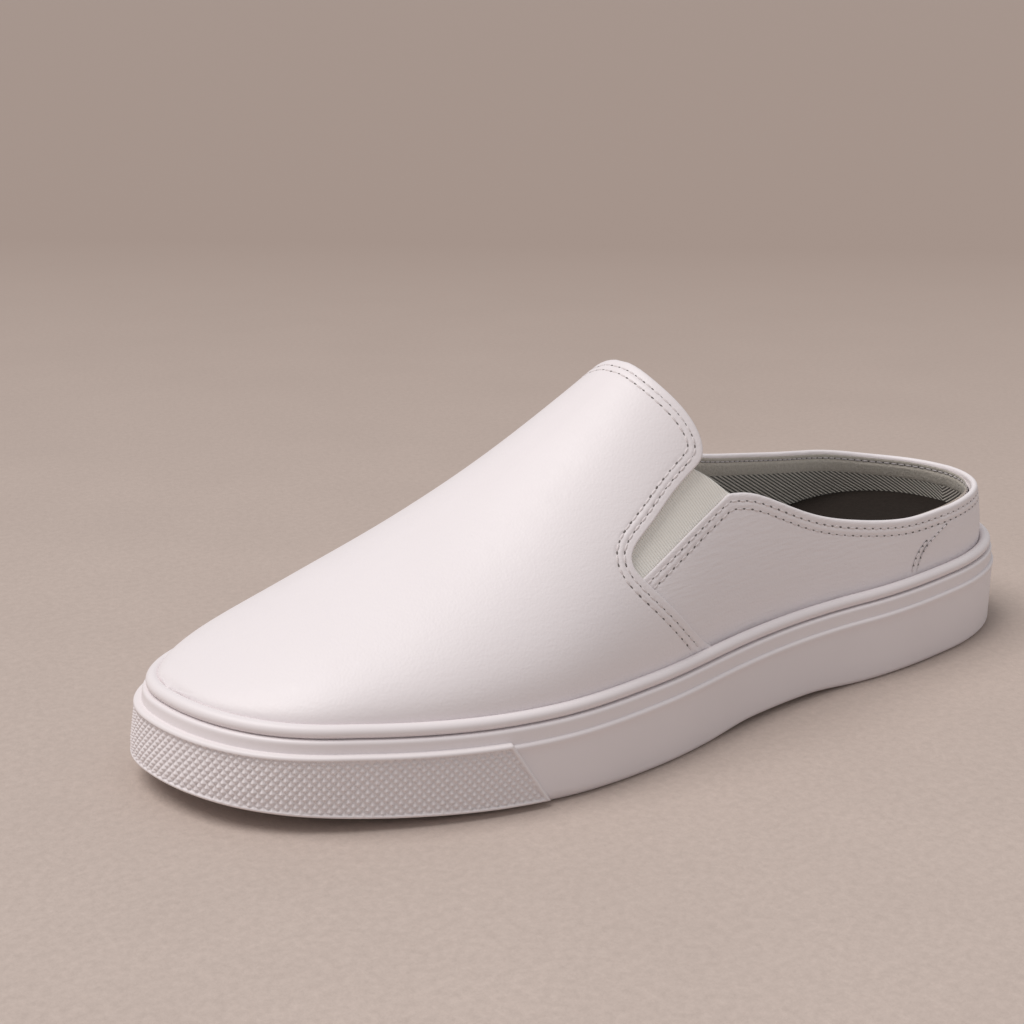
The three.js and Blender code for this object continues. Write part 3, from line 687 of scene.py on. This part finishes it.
def sew(line, up, pitch=STITCH_PITCH):
    """Collects the stitches of one row and the dark marks of painted shade at its needle holes; up holds
    the normals along the line.
    """
    rough = even(np.concatenate([line, up], 1), 0.4)
    both = even(np.stack([softened(column, 3.0) for column in rough.T], 1), pitch / STEPS_PER_STITCH)
    points = both[:, :3]
    normals = unit(both[:, 3:])
    runs = unit(np.gradient(points, axis=0))
    half = STEPS_PER_STITCH // 2
    for k in range(half, len(points) - half, STEPS_PER_STITCH):
        n = k + half
        THREADS.append((points[k] + THREAD_UP * normals[k], runs[k], normals[k]))
        HOLE_SHADE_MARKS.append((points[n] - HOLE_DOWN * normals[n], runs[n], normals[n]))


def surface_normals(at, side, t, depth):
    """Outward normals of the surface under the vamp's face."""
    step = 0.002
    du = shell(at + step, side, t, depth) - shell(at - step, side, t, depth)
    dv = shell(at, side, np.clip(t + step, 0, 1), depth) - shell(at, side, np.clip(t - step, 0, 1), depth)
    return -side * unit(np.cross(du, dv))


# Vamp: rows follow its edge from the lateral foot over the ridge to the medial foot
EDGE_SPACING = 0.8
AT_RIDGE = 0.9995
FREE_RISE = 0.6  # share of the instep rise where the edge comes free of the elastic
FREE_BLEND = 0.12
SKIRT = 4.0  # how far the leather runs down behind the bead
edge_side = curve_through(side_points(VAMP_EDGE), EDGE_SPACING)
edge_rows = []
for side in (1, -1):
    at, t = locate(edge_side[:, 0], edge_side[:, 1], side, 0.0)
    reached = int(np.argmax(t > AT_RIDGE)) if (t > AT_RIDGE).any() else len(t) - 1
    at, t = at[:reached + 1], t[:reached + 1]
    t[-1] = 1.0
    edge_rows.append(np.stack([at, np.full_like(at, side), t], 1))
VAMP_ROWS = np.concatenate([edge_rows[0], edge_rows[1][-2::-1]])
outer_edge = shell(VAMP_ROWS[:, 0], VAMP_ROWS[:, 1], VAMP_ROWS[:, 2], 0.0)
free_low = feather_line(0.5) + FREE_RISE * INSTEP_RISE
free = smoothstep(outer_edge[:, 2], free_low, free_low + FREE_BLEND * INSTEP_RISE)
VAMP_FOLD = mix(FOLD, FREE_FOLD, free)


def moved_in(rows, edge, by):
    """The rows of the vamp moved in from its edge by a distance over the skin."""
    little = 0.004
    ahead = shell(rows[:, 0] + little, rows[:, 1], rows[:, 2], 0.0) - edge
    along = unit(np.gradient(edge, axis=0))
    inward = unit(ahead - (ahead * along).sum(-1)[:, None] * along)
    target = edge + by[:, None] * inward
    at, t = locate(target[:, 0], target[:, 2], rows[:, 1], 0.0)
    high = smoothstep(rows[:, 2], 0.72, 0.86)
    at = mix(at, rows[:, 0] + by / LENGTH, high)
    t = mix(t, rows[:, 2], high)
    return np.stack([softened(at, 1.5), rows[:, 1], softened(t, 1.5)], 1)


VAMP_ROWS = moved_in(VAMP_ROWS, outer_edge, mix(FOLD, FREE_SHIFT, free))
# Columns run from the edge to the toe, close together where the rows are sewn
VAMP_SPAN = 130
near = np.arange(0, 9, 0.5) / VAMP_SPAN
far = near[-1] + (1 - near[-1]) * np.linspace(0, 1, 90)[1:] ** 1.05
VAMP_COLUMNS = np.concatenate([near, far])


def vamp_grid(depth, columns):
    at = VAMP_ROWS[:, :1] + (1 - VAMP_ROWS[:, :1]) * columns[None, :]
    side = np.repeat(VAMP_ROWS[:, 1:2], len(columns), 1)
    t = np.repeat(VAMP_ROWS[:, 2:3], len(columns), 1)
    return shell(at, side, t, depth)


vamp = vamp_grid(0.0, VAMP_COLUMNS)
vamp_normals = normals_of(vamp)
gap, gap_run = nearest(vamp, even(vamp[:, 0], LINE_STEP))
lift = stitched(gap, gap_run, VAMP_STITCHES) * smoothstep(gap, 0.2, 1.0)
fade = np.clip((1 - VAMP_COLUMNS) / 0.1, 0, 1)[None, :, None]
vamp = vamp + vamp_normals * lift[..., None] * fade


def folded_edge(grid, normals, radius, steps=7, tail=0.0):
    """Columns that turn the first column of a grid over a rounded edge and back under it."""
    edge = grid[:, 0]
    along = unit(np.gradient(edge, axis=0))
    up = unit(normals[:, 0])
    out = unit(np.cross(along, up))
    flip = np.sign((out * (edge - grid[:, 3])).sum(-1))
    out = out * flip[:, None]
    radius = np.broadcast_to(radius, len(edge))[:, None]
    columns = []
    if tail:
        columns.append(edge - 2 * radius * up - tail * out)
    for k in range(steps, 0, -1):
        turn = math.pi * k / steps
        columns.append(edge + radius * math.sin(turn) * out - radius * (1 - math.cos(turn)) * up)
    return np.stack(columns, 1)


vamp_fold = folded_edge(vamp, vamp_normals, VAMP_FOLD, tail=1.5)
whole = np.concatenate([vamp_fold, vamp], 1)
down = np.array([0, 0, -SKIRT])
whole = np.concatenate([whole[:1] + down, whole, whole[-1:] + down], 0)
grid_piece("vamp", whole, VAMP_LEATHER, *UPPER)


def row_line(normals, grid, distances, wanted):
    """The line on a grid that keeps one distance from the edge, with its normals."""
    points = []
    ups = []
    for i in range(len(distances)):
        reach = distances[i]
        k = int(np.argmax(reach >= wanted))
        if k == 0:
            continue
        share = (wanted - reach[k - 1]) / (reach[k] - reach[k - 1] + 1e-9)
        points.append(mix(grid[i, k - 1], grid[i, k], share))
        ups.append(mix(normals[i, k - 1], normals[i, k], share))
    return np.array(points), np.array(ups)


for wanted in VAMP_STITCHES:
    line, up = row_line(vamp_normals, vamp, gap, wanted)
    inside = line[:, 2] > feather_line((line[:, 0] - HEEL_X) / LENGTH) + 1.5
    sew(line[inside], up[inside])

# Lining of the vamp, thinned toward the free edge
lining_columns = np.concatenate([np.linspace(0.004, 0.1, 14), np.linspace(0.12, 0.88, 44)])
LINING_DEPTH = VAMP_STEP + UPPER_WALL - 0.05
by_edge = 1 - smoothstep(lining_columns, 0, 0.09)
thinner = (LINING_DEPTH - 2 * FREE_FOLD + 0.15) * free[:, None] * by_edge[None, :]
vamp_lining = vamp_grid(LINING_DEPTH - thinner, lining_columns)
grid_piece("vamp_lining", vamp_lining, VAMP_TEXTILE, *UPPER)

# Quarters, from the lateral front round the heel to the medial front
FRONT_AT = 0.615
QUARTER_SPACING = 0.85
CORNER_AT = TOPLINE[-1, 0] - 0.006
CORNER_RISE = QUARTER_RISE + 0.6
CORNER_BLEND = 0.012
MEDIAL_LIFT = 1.0  # the medial topline is so much higher
HEEL_PULL = 1.6  # the topline at the heel is pulled in
quarter_turn = np.arccos(1 - 2 * FRONT_AT)
walk = np.linspace(quarter_turn, -quarter_turn, 1200)
wx, wy = rim_point(station(walk), np.where(walk >= 0, 1, -1), VAMP_INSET)
path = even(np.stack([wx, wy, walk], 1), QUARTER_SPACING)
Q_TURN = path[:, 2]
Q_AT = station(Q_TURN)
Q_SIDE = np.where(Q_TURN >= 0, 1.0, -1.0)


def front_line(at):
    """The straight front edge of the quarter in side view."""
    x = side_x(at)
    x0, z0 = side_x(TOPLINE[-1, 0]), feather_line(TOPLINE[-1, 0]) + QUARTER_RISE
    x1, z1 = side_x(QUARTER_FOOT[0]), feather_line(QUARTER_FOOT[0]) + QUARTER_FOOT[1] * INSTEP_RISE
    return z0 + (z1 - z0) * (x - x0) / (x1 - x0)


def quarter_top(at, side):
    """Height of the quarter's topline and, past the corner, of its front edge."""
    climb = np.where(side > 0, climbs[1](at), climbs[-1](at))
    top = feather_line(at) + mix(HEEL_RISE, CORNER_RISE, climb)
    top = top + MEDIAL_LIFT * smoothstep(at, 0.02, 0.12) * (side < 0)
    return np.where(at < CORNER_AT, top, front_line(at))


Q_TOP = softened(quarter_top(Q_AT, Q_SIDE), 1.1)
Q_FOLD = mix(RIM_FOLD, FOLD, smoothstep(Q_AT, CORNER_AT - CORNER_BLEND, CORNER_AT + CORNER_BLEND))
QUARTER_DEPTH = VAMP_STEP
Q_COLUMNS = np.concatenate([np.arange(0, 0.36, 0.018), np.linspace(0.36, 1, 26)])


def quarter_grid(depth, tops, bottoms, columns):
    """Rows round the heel, columns from the top edge down."""
    sec = {k: v[:, None] for k, v in section(Q_AT, Q_SIDE, depth).items()}
    z = tops[:, None] + (bottoms - tops)[:, None] * columns[None, :]
    grid = on_section(sec, solve_t(sec, z))
    height = np.clip((z - feather_line(Q_AT)[:, None]) / HEEL_RISE, 0, 1)
    grid[..., 0] += HEEL_PULL * height ** 1.5 * smoothstep(Q_AT, 0.25, 0.03)[:, None]
    return grid


quarter = quarter_grid(QUARTER_DEPTH, Q_TOP - 0.95 * Q_FOLD, feather_line(Q_AT), Q_COLUMNS)
quarter_normals = normals_of(quarter)
q_gap, q_run = nearest(quarter, even(quarter[:, 0], LINE_STEP))

# Heel patch, a low step on the quarters with two rows of its own
PATCH_LIFT = 0.2
PATCH_BLEND = 1.2
p_low, p_high = side_points(np.array([[PATCH_LOW_AT, 0], list(PATCH_HIGH)]))
slant = (p_high - p_low) / np.linalg.norm(p_high - p_low)
past_line = (quarter[..., 0] - p_low[0]) * slant[1] - (quarter[..., 2] - p_low[1]) * slant[0]
patch_step = PATCH_LIFT * smoothstep(-past_line, -PATCH_BLEND, PATCH_BLEND)
lift = stitched(q_gap, q_run, QUARTER_STITCHES) * smoothstep(q_gap, 0.2, 1.0) + patch_step
quarter = quarter + quarter_normals * lift[..., None]
quarter_fold = folded_edge(quarter, quarter_normals, Q_FOLD)
# The topline ends tucked in behind; each pair is a drop and a set-back
band = smoothstep(Q_AT, CORNER_AT + CORNER_BLEND, CORNER_AT - CORNER_BLEND)[:, None]
inner_edge = quarter_fold[:, 0]
tucked = [inner_edge + np.array([0, 0, -1.0]) * (drop * band) - quarter_normals[:, 0] * (under * band)
          for drop, under in ((1.3, 0.5), (0.8, 0.1), (0.4, 0.0))]
whole = np.concatenate([np.stack(tucked, 1), quarter_fold, quarter, quarter[:, -1:] + down], 1)
grid_piece("quarters", whole, QUARTER_LEATHER, *UPPER)
# Rows of the quarters, as far as the vamp leaves them open
lower_edge = edge_side[:40]
for wanted in QUARTER_STITCHES:
    line, up = row_line(quarter_normals, quarter, q_gap, wanted)
    edge_at = (line[:, 0] - HEEL_X) / LENGTH
    hidden = np.interp(line[:, 2], lower_edge[:, 1], lower_edge[:, 0])
    keep = (edge_at < 0.6) & (line[:, 0] < hidden + 1)
    sew(line[keep], up[keep])
# Rows of the heel patch: at, rise; the medial rows climb further
MEDIAL_CLIMB = 1.22
PATCH_ROWS = (
    np.array([[0.211, 0.01], [0.207, 0.047], [0.198, 0.093], [0.183, 0.127], [0.16, 0.163]]),
    np.array([[0.218, 0.012], [0.214, 0.063], [0.204, 0.103], [0.19, 0.137]]),
)
for rows in PATCH_ROWS:
    for side, taller in ((1.0, 1.0), (-1.0, MEDIAL_CLIMB)):
        line = curve_through(side_points(rows * (1, taller)), 0.5)
        at, t = locate(line[:, 0], line[:, 1], side, QUARTER_DEPTH - PATCH_LIFT)
        ups = surface_normals(at, side, t, QUARTER_DEPTH)
        sew(shell(at, side, t, QUARTER_DEPTH - PATCH_LIFT), ups, PATCH_PITCH)

# Collar lining: felt band over twill
INNER = VAMP_STEP + UPPER_WALL
FELT_HEIGHT = 6.2
FELT_PUFF = 0.35
FELT_TUCK = 0.3  # at its row
FELT_ROW = 1.4
FELT_ROW_COLUMN = 3
LINING_COLUMNS = 24
heel_run = np.concatenate([[0], np.cumsum(np.hypot(*np.diff(path[:, :2], axis=0).T))])
heel_run = np.abs(heel_run - heel_run[np.argmin(np.abs(Q_TURN))])
felt_columns = np.linspace(0, 1, 16)
puff = (FELT_PUFF * np.sin(math.pi * felt_columns) ** 0.6)[None, :]
felt_top = Q_TOP - 1.0
felt = quarter_grid(INNER - 0.15, felt_top, felt_top - FELT_HEIGHT, felt_columns)
felt_out = normals_of(felt)
sewn_in = FELT_TUCK * np.exp(-((felt_columns * FELT_HEIGHT - FELT_ROW) / 0.45) ** 2)[None, :]
felt = felt - felt_out * (puff - sewn_in)[..., None]
keep = Q_AT < CORNER_AT + 0.01
grid_piece("collar_felt_band", felt[keep], FELT, *UPPER)
sew(felt[keep][:, FELT_ROW_COLUMN], -felt_out[keep][:, FELT_ROW_COLUMN], BAND_PITCH)
lining_columns = np.linspace(0, 1, LINING_COLUMNS)
lining = quarter_grid(INNER - 0.1, Q_TOP - 3.0, footbed(Q_AT) - 1.0, lining_columns)
uvs = np.stack([np.repeat(heel_run[:, None], LINING_COLUMNS, 1), lining[..., 2]], -1)
grid_piece("quarter_lining", lining, TWILL, *UPPER, uvs)

# Elastic gores
GORE_DEPTH = VAMP_STEP + GORE_SUNK
head_point = side_points(VAMP_EDGE[GORE_HEAD:GORE_HEAD + 1])[0]
corner_point = np.array([side_x(CORNER_AT), front_line(CORNER_AT)])
WEB_THICK = 1.1
WEB_BOW = 0.7  # how far its open top swells up
WEB_FRONT_AT = 0.622
WEB_COLUMNS = 90


def gore_web(side):
    """The elastic from its open top down, folded over and back down behind."""
    at = np.linspace(CORNER_AT - 0.006, WEB_FRONT_AT, 230)
    x = side_x(at)
    under_vamp = side_points(np.array([[0.55, 0.559], [0.598, 0.443], [WEB_FRONT_AT, 0.36]]))
    across = np.clip((x - corner_point[0]) / (head_point[0] - corner_point[0]), 0, 1)
    bow = WEB_BOW * np.sin(math.pi * across)
    line = np.array([[corner_point[0] - 2, corner_point[1] - 1], corner_point, head_point + (0, 0.5)])
    open_top = np.interp(x, line[:, 0], line[:, 1]) + bow
    covered_x = [head_point[0], *under_vamp[:, 0]]
    covered = np.interp(x, covered_x, [head_point[1] + 0.5, *(under_vamp[:, 1] + 2.5)])
    top = np.where(x < head_point[0], open_top, covered) - 0.6
    bottom = np.minimum(front_line(at) - 2.5, top - 0.5)
    sec = {k: v[:, None] for k, v in section(at, side, GORE_DEPTH).items()}
    z = top[:, None] + (bottom - top)[:, None] * np.linspace(0, 1, WEB_COLUMNS)[None, :]
    web = on_section(sec, solve_t(sec, z))
    normals = normals_of(web)
    normals = normals * np.sign(normals[..., 1].mean() * side)
    fold = folded_edge(web, normals, WEB_THICK / 2, 6)
    back = web[:, ::6] - WEB_THICK * normals[:, ::6]
    return np.concatenate([back[:, ::-1], fold[:, 1:], web], 1)


for side, node_name in ((1, "gore_lateral"), (-1, "gore_medial")):
    web = gore_web(side)
    flat = np.stack([web[..., 0], web[..., 2]], -1)
    grid_piece("elastic_" + node_name, web, ELASTIC, "gore_elastic", [node_name], flat)

places, runs, ups = (np.array(v) for v in zip(*THREADS))
lobes("stitches", places, runs, ups, STITCH_SIZE, THREAD, *UPPER)
# Dark lobes at the needle holes: painted shade
places, runs, ups = (np.array(v) for v in zip(*HOLE_SHADE_MARKS))
lobes("needle_hole_shade_marks", places, runs, ups, HOLE_SHADE_SIZE, HOLE_SHADE_PAINT, *UPPER)

# Sole, swept round the outline
LOOP_POINTS = 4001
RING_SPACING = 1.2
loop_turn = np.linspace(0, 2 * math.pi, LOOP_POINTS)[:-1]
lx, ly = rim_point(station(loop_turn), np.where(loop_turn <= math.pi, 1, -1), 0)
ring_path = even(np.stack([lx, ly, loop_turn], 1), RING_SPACING)
R_TURN = ring_path[:, 2]
R_AT = station(R_TURN)
R_SIDE = np.where(R_TURN <= math.pi, 1, -1)


def ring(inset, height):
    x, y = rim_point(R_AT, R_SIDE, inset + toe_lean(R_AT, height))
    return np.stack([x, y, height], 1)


def hoop(profile):
    """A profile of insets and heights swept round the outline."""
    return np.stack([ring(inset, height) for inset, height in profile], 1)


def arc(centre_inset, centre_z, radius_in, radius_z, start, end, steps):
    """Profile points on a quarter ellipse; angles in degrees from outwards to up."""
    points = []
    for k in range(steps + 1):
        turn = math.radians(mix(start, end, k / steps))
        points.append((centre_inset - radius_in * math.cos(turn), centre_z + radius_z * math.sin(turn)))
    return points


floor_z = underside(R_AT)
ridge_z = ridge_line(R_AT)
rim_z = rim_line(R_AT)
edge = mix(SIDE_EDGE, TOE_EDGE, smoothstep(R_AT, 0.6, 0.75))
# Underside, lower edge, side wall, ridge line, band, lip of the rim, inside of the cup
wall = [(WALL_IN + edge + 4, floor_z)]
wall += arc(WALL_IN + edge, floor_z + 1.2 * edge, edge, 1.2 * edge, -90, 0, 9)
wall += [(WALL_IN, mix(floor_z, ridge_z, s)) for s in (0.35, 0.5, 0.65, 0.8)]
wall += [(WALL_IN, ridge_z - 1.7), (0.2, ridge_z - 1.2), (0.05, ridge_z - 0.8)]
wall += arc(0.8, ridge_z - 0.4, 0.8, 0.8, 0, 90, 8)
wall += [(LEDGE, ridge_z + 0.45), (LEDGE, ridge_z + 0.7), (LEDGE, ridge_z + 1.5), (LEDGE, rim_z - 1.6)]
wall += [(LEDGE - 0.02, rim_z - 1.2), (LEDGE - 0.02, rim_z - LIP)]
wall += arc(LEDGE + LIP, rim_z - LIP, LIP, LIP, 10, 90, 5)
wall += [(RIM_WIDTH, rim_z), (RIM_WIDTH, cup_floor(R_AT))]


def closed_sweep(name, grid, material, nodes):
    """A swept body with both ends closed by strips across it."""
    rows, columns = grid.shape[:2]
    faces = grid_faces(rows, columns, round_rows=True)
    for column in (0, columns - 1):
        rim = [i * columns + column for i in range(rows)]
        low, high = 1, rows - 1
        faces.append((rim[0], rim[low], rim[high]))
        while high - low > 1:
            if high - low > 2:
                faces.append((rim[low], rim[low + 1], rim[high - 1], rim[high]))
            else:
                faces.append((rim[low], rim[low + 1], rim[high]))
            low += 1
            high -= 1
    return finish_mesh(name, grid.reshape(-1, 3), faces, material, nodes)


outsole = closed_sweep("outsole_body", hoop(wall), SOLE_RUBBER, ["outsole"])

# Tread
TREADS = ((0.06, 0.29, 0.17), (0.55, 0.93, 0.62))  # from, to, middle of the pad
SLOT_BOW = 0.25
SLOT_STEPS = 9
BELOW = -5


def slot_bars():
    """Points and faces of the bent bars that cut the tread and leave the pads."""
    points = []
    faces = []
    for start, end, pad in TREADS:
        for k in range(int((end - start) * LENGTH // SLOT_PITCH) + 1):
            at = start + k * SLOT_PITCH / LENGTH
            left = float(rim_point(at, 1, 0)[1]) - TREAD_BORDER
            right = float(rim_point(at, -1, 0)[1]) + TREAD_BORDER
            ridge = float(spine_y(at))
            top = float(underside(at)) + SLOT_DEPTH
            spans = [(left, right)]
            if abs(at - pad) * LENGTH < PAD_LENGTH / 2 + SLOT_WIDTH:
                spans = [(left, ridge + PAD_WIDTH / 2), (ridge - PAD_WIDTH / 2, right)]
            for one, two in spans:
                first = len(points)
                for n in range(SLOT_STEPS):
                    y = mix(one, two, n / (SLOT_STEPS - 1))
                    bow = SLOT_BOW * SLOT_PITCH * ((2 * (y - right)) / (left - right) - 1) ** 2
                    x = float(side_x(at)) - bow
                    for dx, z in ((0, BELOW), (0, top), (-SLOT_WIDTH, top), (-SLOT_WIDTH, BELOW)):
                        points.append((x + dx, y, z))
                for n in range(SLOT_STEPS - 1):
                    for c in range(4):
                        a = first + 4 * n + c
                        b = first + 4 * n + (c + 1) % 4
                        faces.append((a, b, b + 4, a + 4))
                last = first + 4 * (SLOT_STEPS - 1)
                faces.append((first + 3, first + 2, first + 1, first))
                faces.append((last, last + 1, last + 2, last + 3))
    return points, faces


slot_points, slot_faces = slot_bars()
cutter_mesh = bpy.data.meshes.new("tread_slots")
cutter_mesh.from_pydata((np.array(slot_points) * MM).tolist(), [], slot_faces)
welded(cutter_mesh)
cutter = placed("tread_slots", cutter_mesh)
cut = outsole.modifiers.new("tread", "BOOLEAN")
cut.operation = "DIFFERENCE"
cut.solver = "EXACT"
cut.object = cutter
bpy.context.view_layer.update()
evaluated = outsole.evaluated_get(bpy.context.evaluated_depsgraph_get())
cut_mesh = bpy.data.meshes.new_from_object(evaluated)
outsole.modifiers.clear()
outsole.data = cut_mesh
bpy.data.objects.remove(cutter)
cut_mesh.set_sharp_from_angle(angle=math.radians(40))

# Welt
seat = rim_z + CLEARANCE
bead = [(RIM_WIDTH, seat), (2.2, seat)]
bead += arc(3.3, seat + 0.45 * BEAD_HEIGHT, 1.8, 0.55 * BEAD_HEIGHT, -40, 90, 12)
bead += arc(3.3, seat + 0.45 * BEAD_HEIGHT, -1.7, 0.55 * BEAD_HEIGHT, 80, 0, 8)
grid_piece("welt_bead", hoop(bead), SOLE_RUBBER, "sole_rubber", ["welt"],
           round_rows=True, round_columns=True)

# Toe bumper
KNURL = 1.6  # pitch of the crossed grooves
KNURL_DEPTH = 0.85
BORDER = 1.2  # plain border round the knurl
STRIP_PROUD = BUMPER_PROUD + 0.4
STRIP_IN = WALL_IN + 1.1
STRIP_ROUND = 0.75
STRIP_SPACING = 0.24
STRIP_LEVELS = 74


def strip_heights(turn, levels):
    """Station, lower edge, upper edge and heights of the strip."""
    at = station(turn)
    low = underside(at) + BUMPER_FOOT
    high = ridge_line(at) + BUMPER_RISE
    return at, low, high, low + (high - low) * levels


def bumper_piece():
    """The knurled strip round the toe, with slanted ends and rounded edges."""
    levels = np.linspace(0, 1, STRIP_LEVELS)[None, :]
    first_turn = math.acos(1 - 2 * BUMPER_LOW_AT)
    walk_turn = np.linspace(first_turn, 2 * math.pi - first_turn, 3000)
    walk_x, walk_y = rim_point(station(walk_turn), np.where(walk_turn <= math.pi, 1, -1), 0)
    turn = even(np.stack([walk_x, walk_y, walk_turn], 1), STRIP_SPACING)[:, 2]
    count = len(turn)
    distance = np.linspace(0, STRIP_SPACING * (count - 1), count)
    total = distance[-1]
    z = strip_heights(turn[:, None], levels)[3]
    slip = (BUMPER_HIGH_AT - BUMPER_LOW_AT) * LENGTH * z / HEEL_SOLE
    place = slip + (total - 2 * slip) * np.linspace(0, 1, count)[:, None]
    turned = np.interp(place, distance, turn)
    side = np.where(turned <= math.pi, 1, -1)
    at, low_z, high_z, z = strip_heights(turned, levels)
    from_low = z - low_z
    from_high = high_z - z
    from_end = np.minimum(place - slip, total - slip - place) * 0.92
    rim = np.minimum(np.minimum(from_high, from_end), from_low + 0.2)
    one = ((place + z) / math.sqrt(2) / KNURL) % 1.0
    two = ((place - z) / math.sqrt(2) / KNURL) % 1.0
    teeth = KNURL_DEPTH * np.minimum(1 - np.abs(2 * one - 1), 1 - np.abs(2 * two - 1))
    inside = smoothstep(rim, BORDER - 0.25, BORDER + 0.15)
    proud = STRIP_PROUD - inside * KNURL_DEPTH + inside * teeth
    edge = np.clip(np.minimum(np.minimum(from_high, from_low / 1.6), from_end), 0, STRIP_ROUND)
    proud = proud - (STRIP_ROUND - np.sqrt(np.maximum(STRIP_ROUND ** 2 - (STRIP_ROUND - edge) ** 2, 0)))
    x, y = rim_point(at, side, WALL_IN - proud + toe_lean(at, z))
    grid = np.stack([x, y, z], -1)
    backs = []
    for column in (0, -1):
        back = grid[:, column].copy()
        behind = STRIP_IN + toe_lean(at[:, column], z[:, column])
        back[:, 0], back[:, 1] = rim_point(at[:, column], side[:, column], behind)
        backs.append(back[:, None])
    grid = np.concatenate([backs[0], grid, backs[1]], 1)
    ends = []
    for row in (0, -1):
        end = grid[row].copy()
        end[1:-1, 0], end[1:-1, 1] = rim_point(at[row], side[row], STRIP_IN)
        ends.append(end[None])
    return np.concatenate([ends[0], grid, ends[1]], 0)


grid_piece("toe_bumper_strip", bumper_piece(), BUMPER_RUBBER, "sole_rubber", ["toe_bumper"])

# Footbed, slightly dished
BED_ROUND = 1.8
inset = RIM_WIDTH + UPPER_WALL + 0.5
bed_z = footbed(R_AT)
bed = [(inset, cup_floor(R_AT) + CLEARANCE), (inset, bed_z - BED_ROUND)]
bed += arc(inset + BED_ROUND, bed_z - BED_ROUND, BED_ROUND, BED_ROUND, 0, 90, 5)
bed += [(inset + 6, bed_z), (inset + 14, bed_z - 0.6)]
closed_sweep("footbed", hoop(bed), FOOTBED_CLOTH, ["insole"])

# Floor
floor_mesh = bpy.data.meshes.new("floor")
reach = 40.0
corners = [(-reach, -reach, 0), (reach, -reach, 0), (reach, reach, 0), (-reach, reach, 0)]
floor_mesh.from_pydata(corners, [], [(0, 1, 2, 3)])
ground, tree, shader = new_material("floor_with_painted_shade")
place = object_place(tree)
cloudy = blend_colours(tree, noise(tree, place, 14.0, 4.0, 0.6), (0.56, 0.465, 0.415), (0.72, 0.6, 0.535))
paper = blend_colours(tree, noise(tree, place, 420.0, 6.0, 0.75), (0.4, 0.33, 0.29), cloudy)
# Painted shade: the floor darkens toward the back of the scene, where the light falls off
away = node(tree, "ShaderNodeVectorMath", {0: place, 1: (-0.6, -0.8, 0.0)}, operation="DOT_PRODUCT")
inputs = {"Value": away.outputs["Value"], "From Min": -0.15, "From Max": 0.9}
painted_back_shade = node(tree, "ShaderNodeMapRange", inputs).outputs["Result"]
fill(shader, {
    "Base Color": blend_colours(tree, painted_back_shade, paper, (0.35, 0.27, 0.23)), "Roughness": 0.85,
    "Normal": bump(tree, noise(tree, place, 900.0, 4.0), 0.0003, 0.4),
})
floor_mesh.materials.append(ground)
floor = placed("floor", floor_mesh)

# Light
world = bpy.data.worlds.new("studio")
bpy.context.scene.world = world
world.use_nodes = True
fill(world.node_tree.nodes["Background"], {"Color": (0.95, 0.95, 0.965, 1), "Strength": 0.46})
softbox = bpy.data.lights.new("softbox", "SUN")
softbox.energy = 2.0
softbox.angle = 0.7
softbox.color = (1.0, 0.97, 0.955)
TO_LIGHT = Vector((0.37, -0.18, 0.91))
placed("softbox", softbox).rotation_euler = TO_LIGHT.to_track_quat("Z", "Y").to_euler()
bpy.context.scene.view_settings.view_transform = "Standard"

# Camera, at the photo's angle to the shoe
AZIMUTH = math.radians(143.11)
ELEVATION = math.radians(16.46)
ROLL = math.radians(0.72)
DISTANCE = 594.13
FOCAL = 1800.0
PICTURE = 1024.0
aim = Vector((-23.39, -83.72 - MIDDLE_Y, 27.0)) * MM
level = math.cos(ELEVATION)
back = Vector((math.sin(AZIMUTH) * level, -math.cos(AZIMUTH) * level, math.sin(ELEVATION)))
right = Vector((math.cos(AZIMUTH), math.sin(AZIMUTH), 0.0))
up = back.cross(right)
right, up = right * math.cos(ROLL) + up * math.sin(ROLL), up * math.cos(ROLL) - right * math.sin(ROLL)
lens = bpy.data.cameras.new("camera")
lens.sensor_width = 36.0
lens.lens = FOCAL / PICTURE * lens.sensor_width
camera = placed("camera", lens)
place = aim + back * DISTANCE * MM
camera.matrix_world = Matrix((
    (right.x, up.x, back.x, place.x),
    (right.y, up.y, back.y, place.y),
    (right.z, up.z, back.z, place.z),
    (0, 0, 0, 1),
))
bpy.context.scene.camera = camera
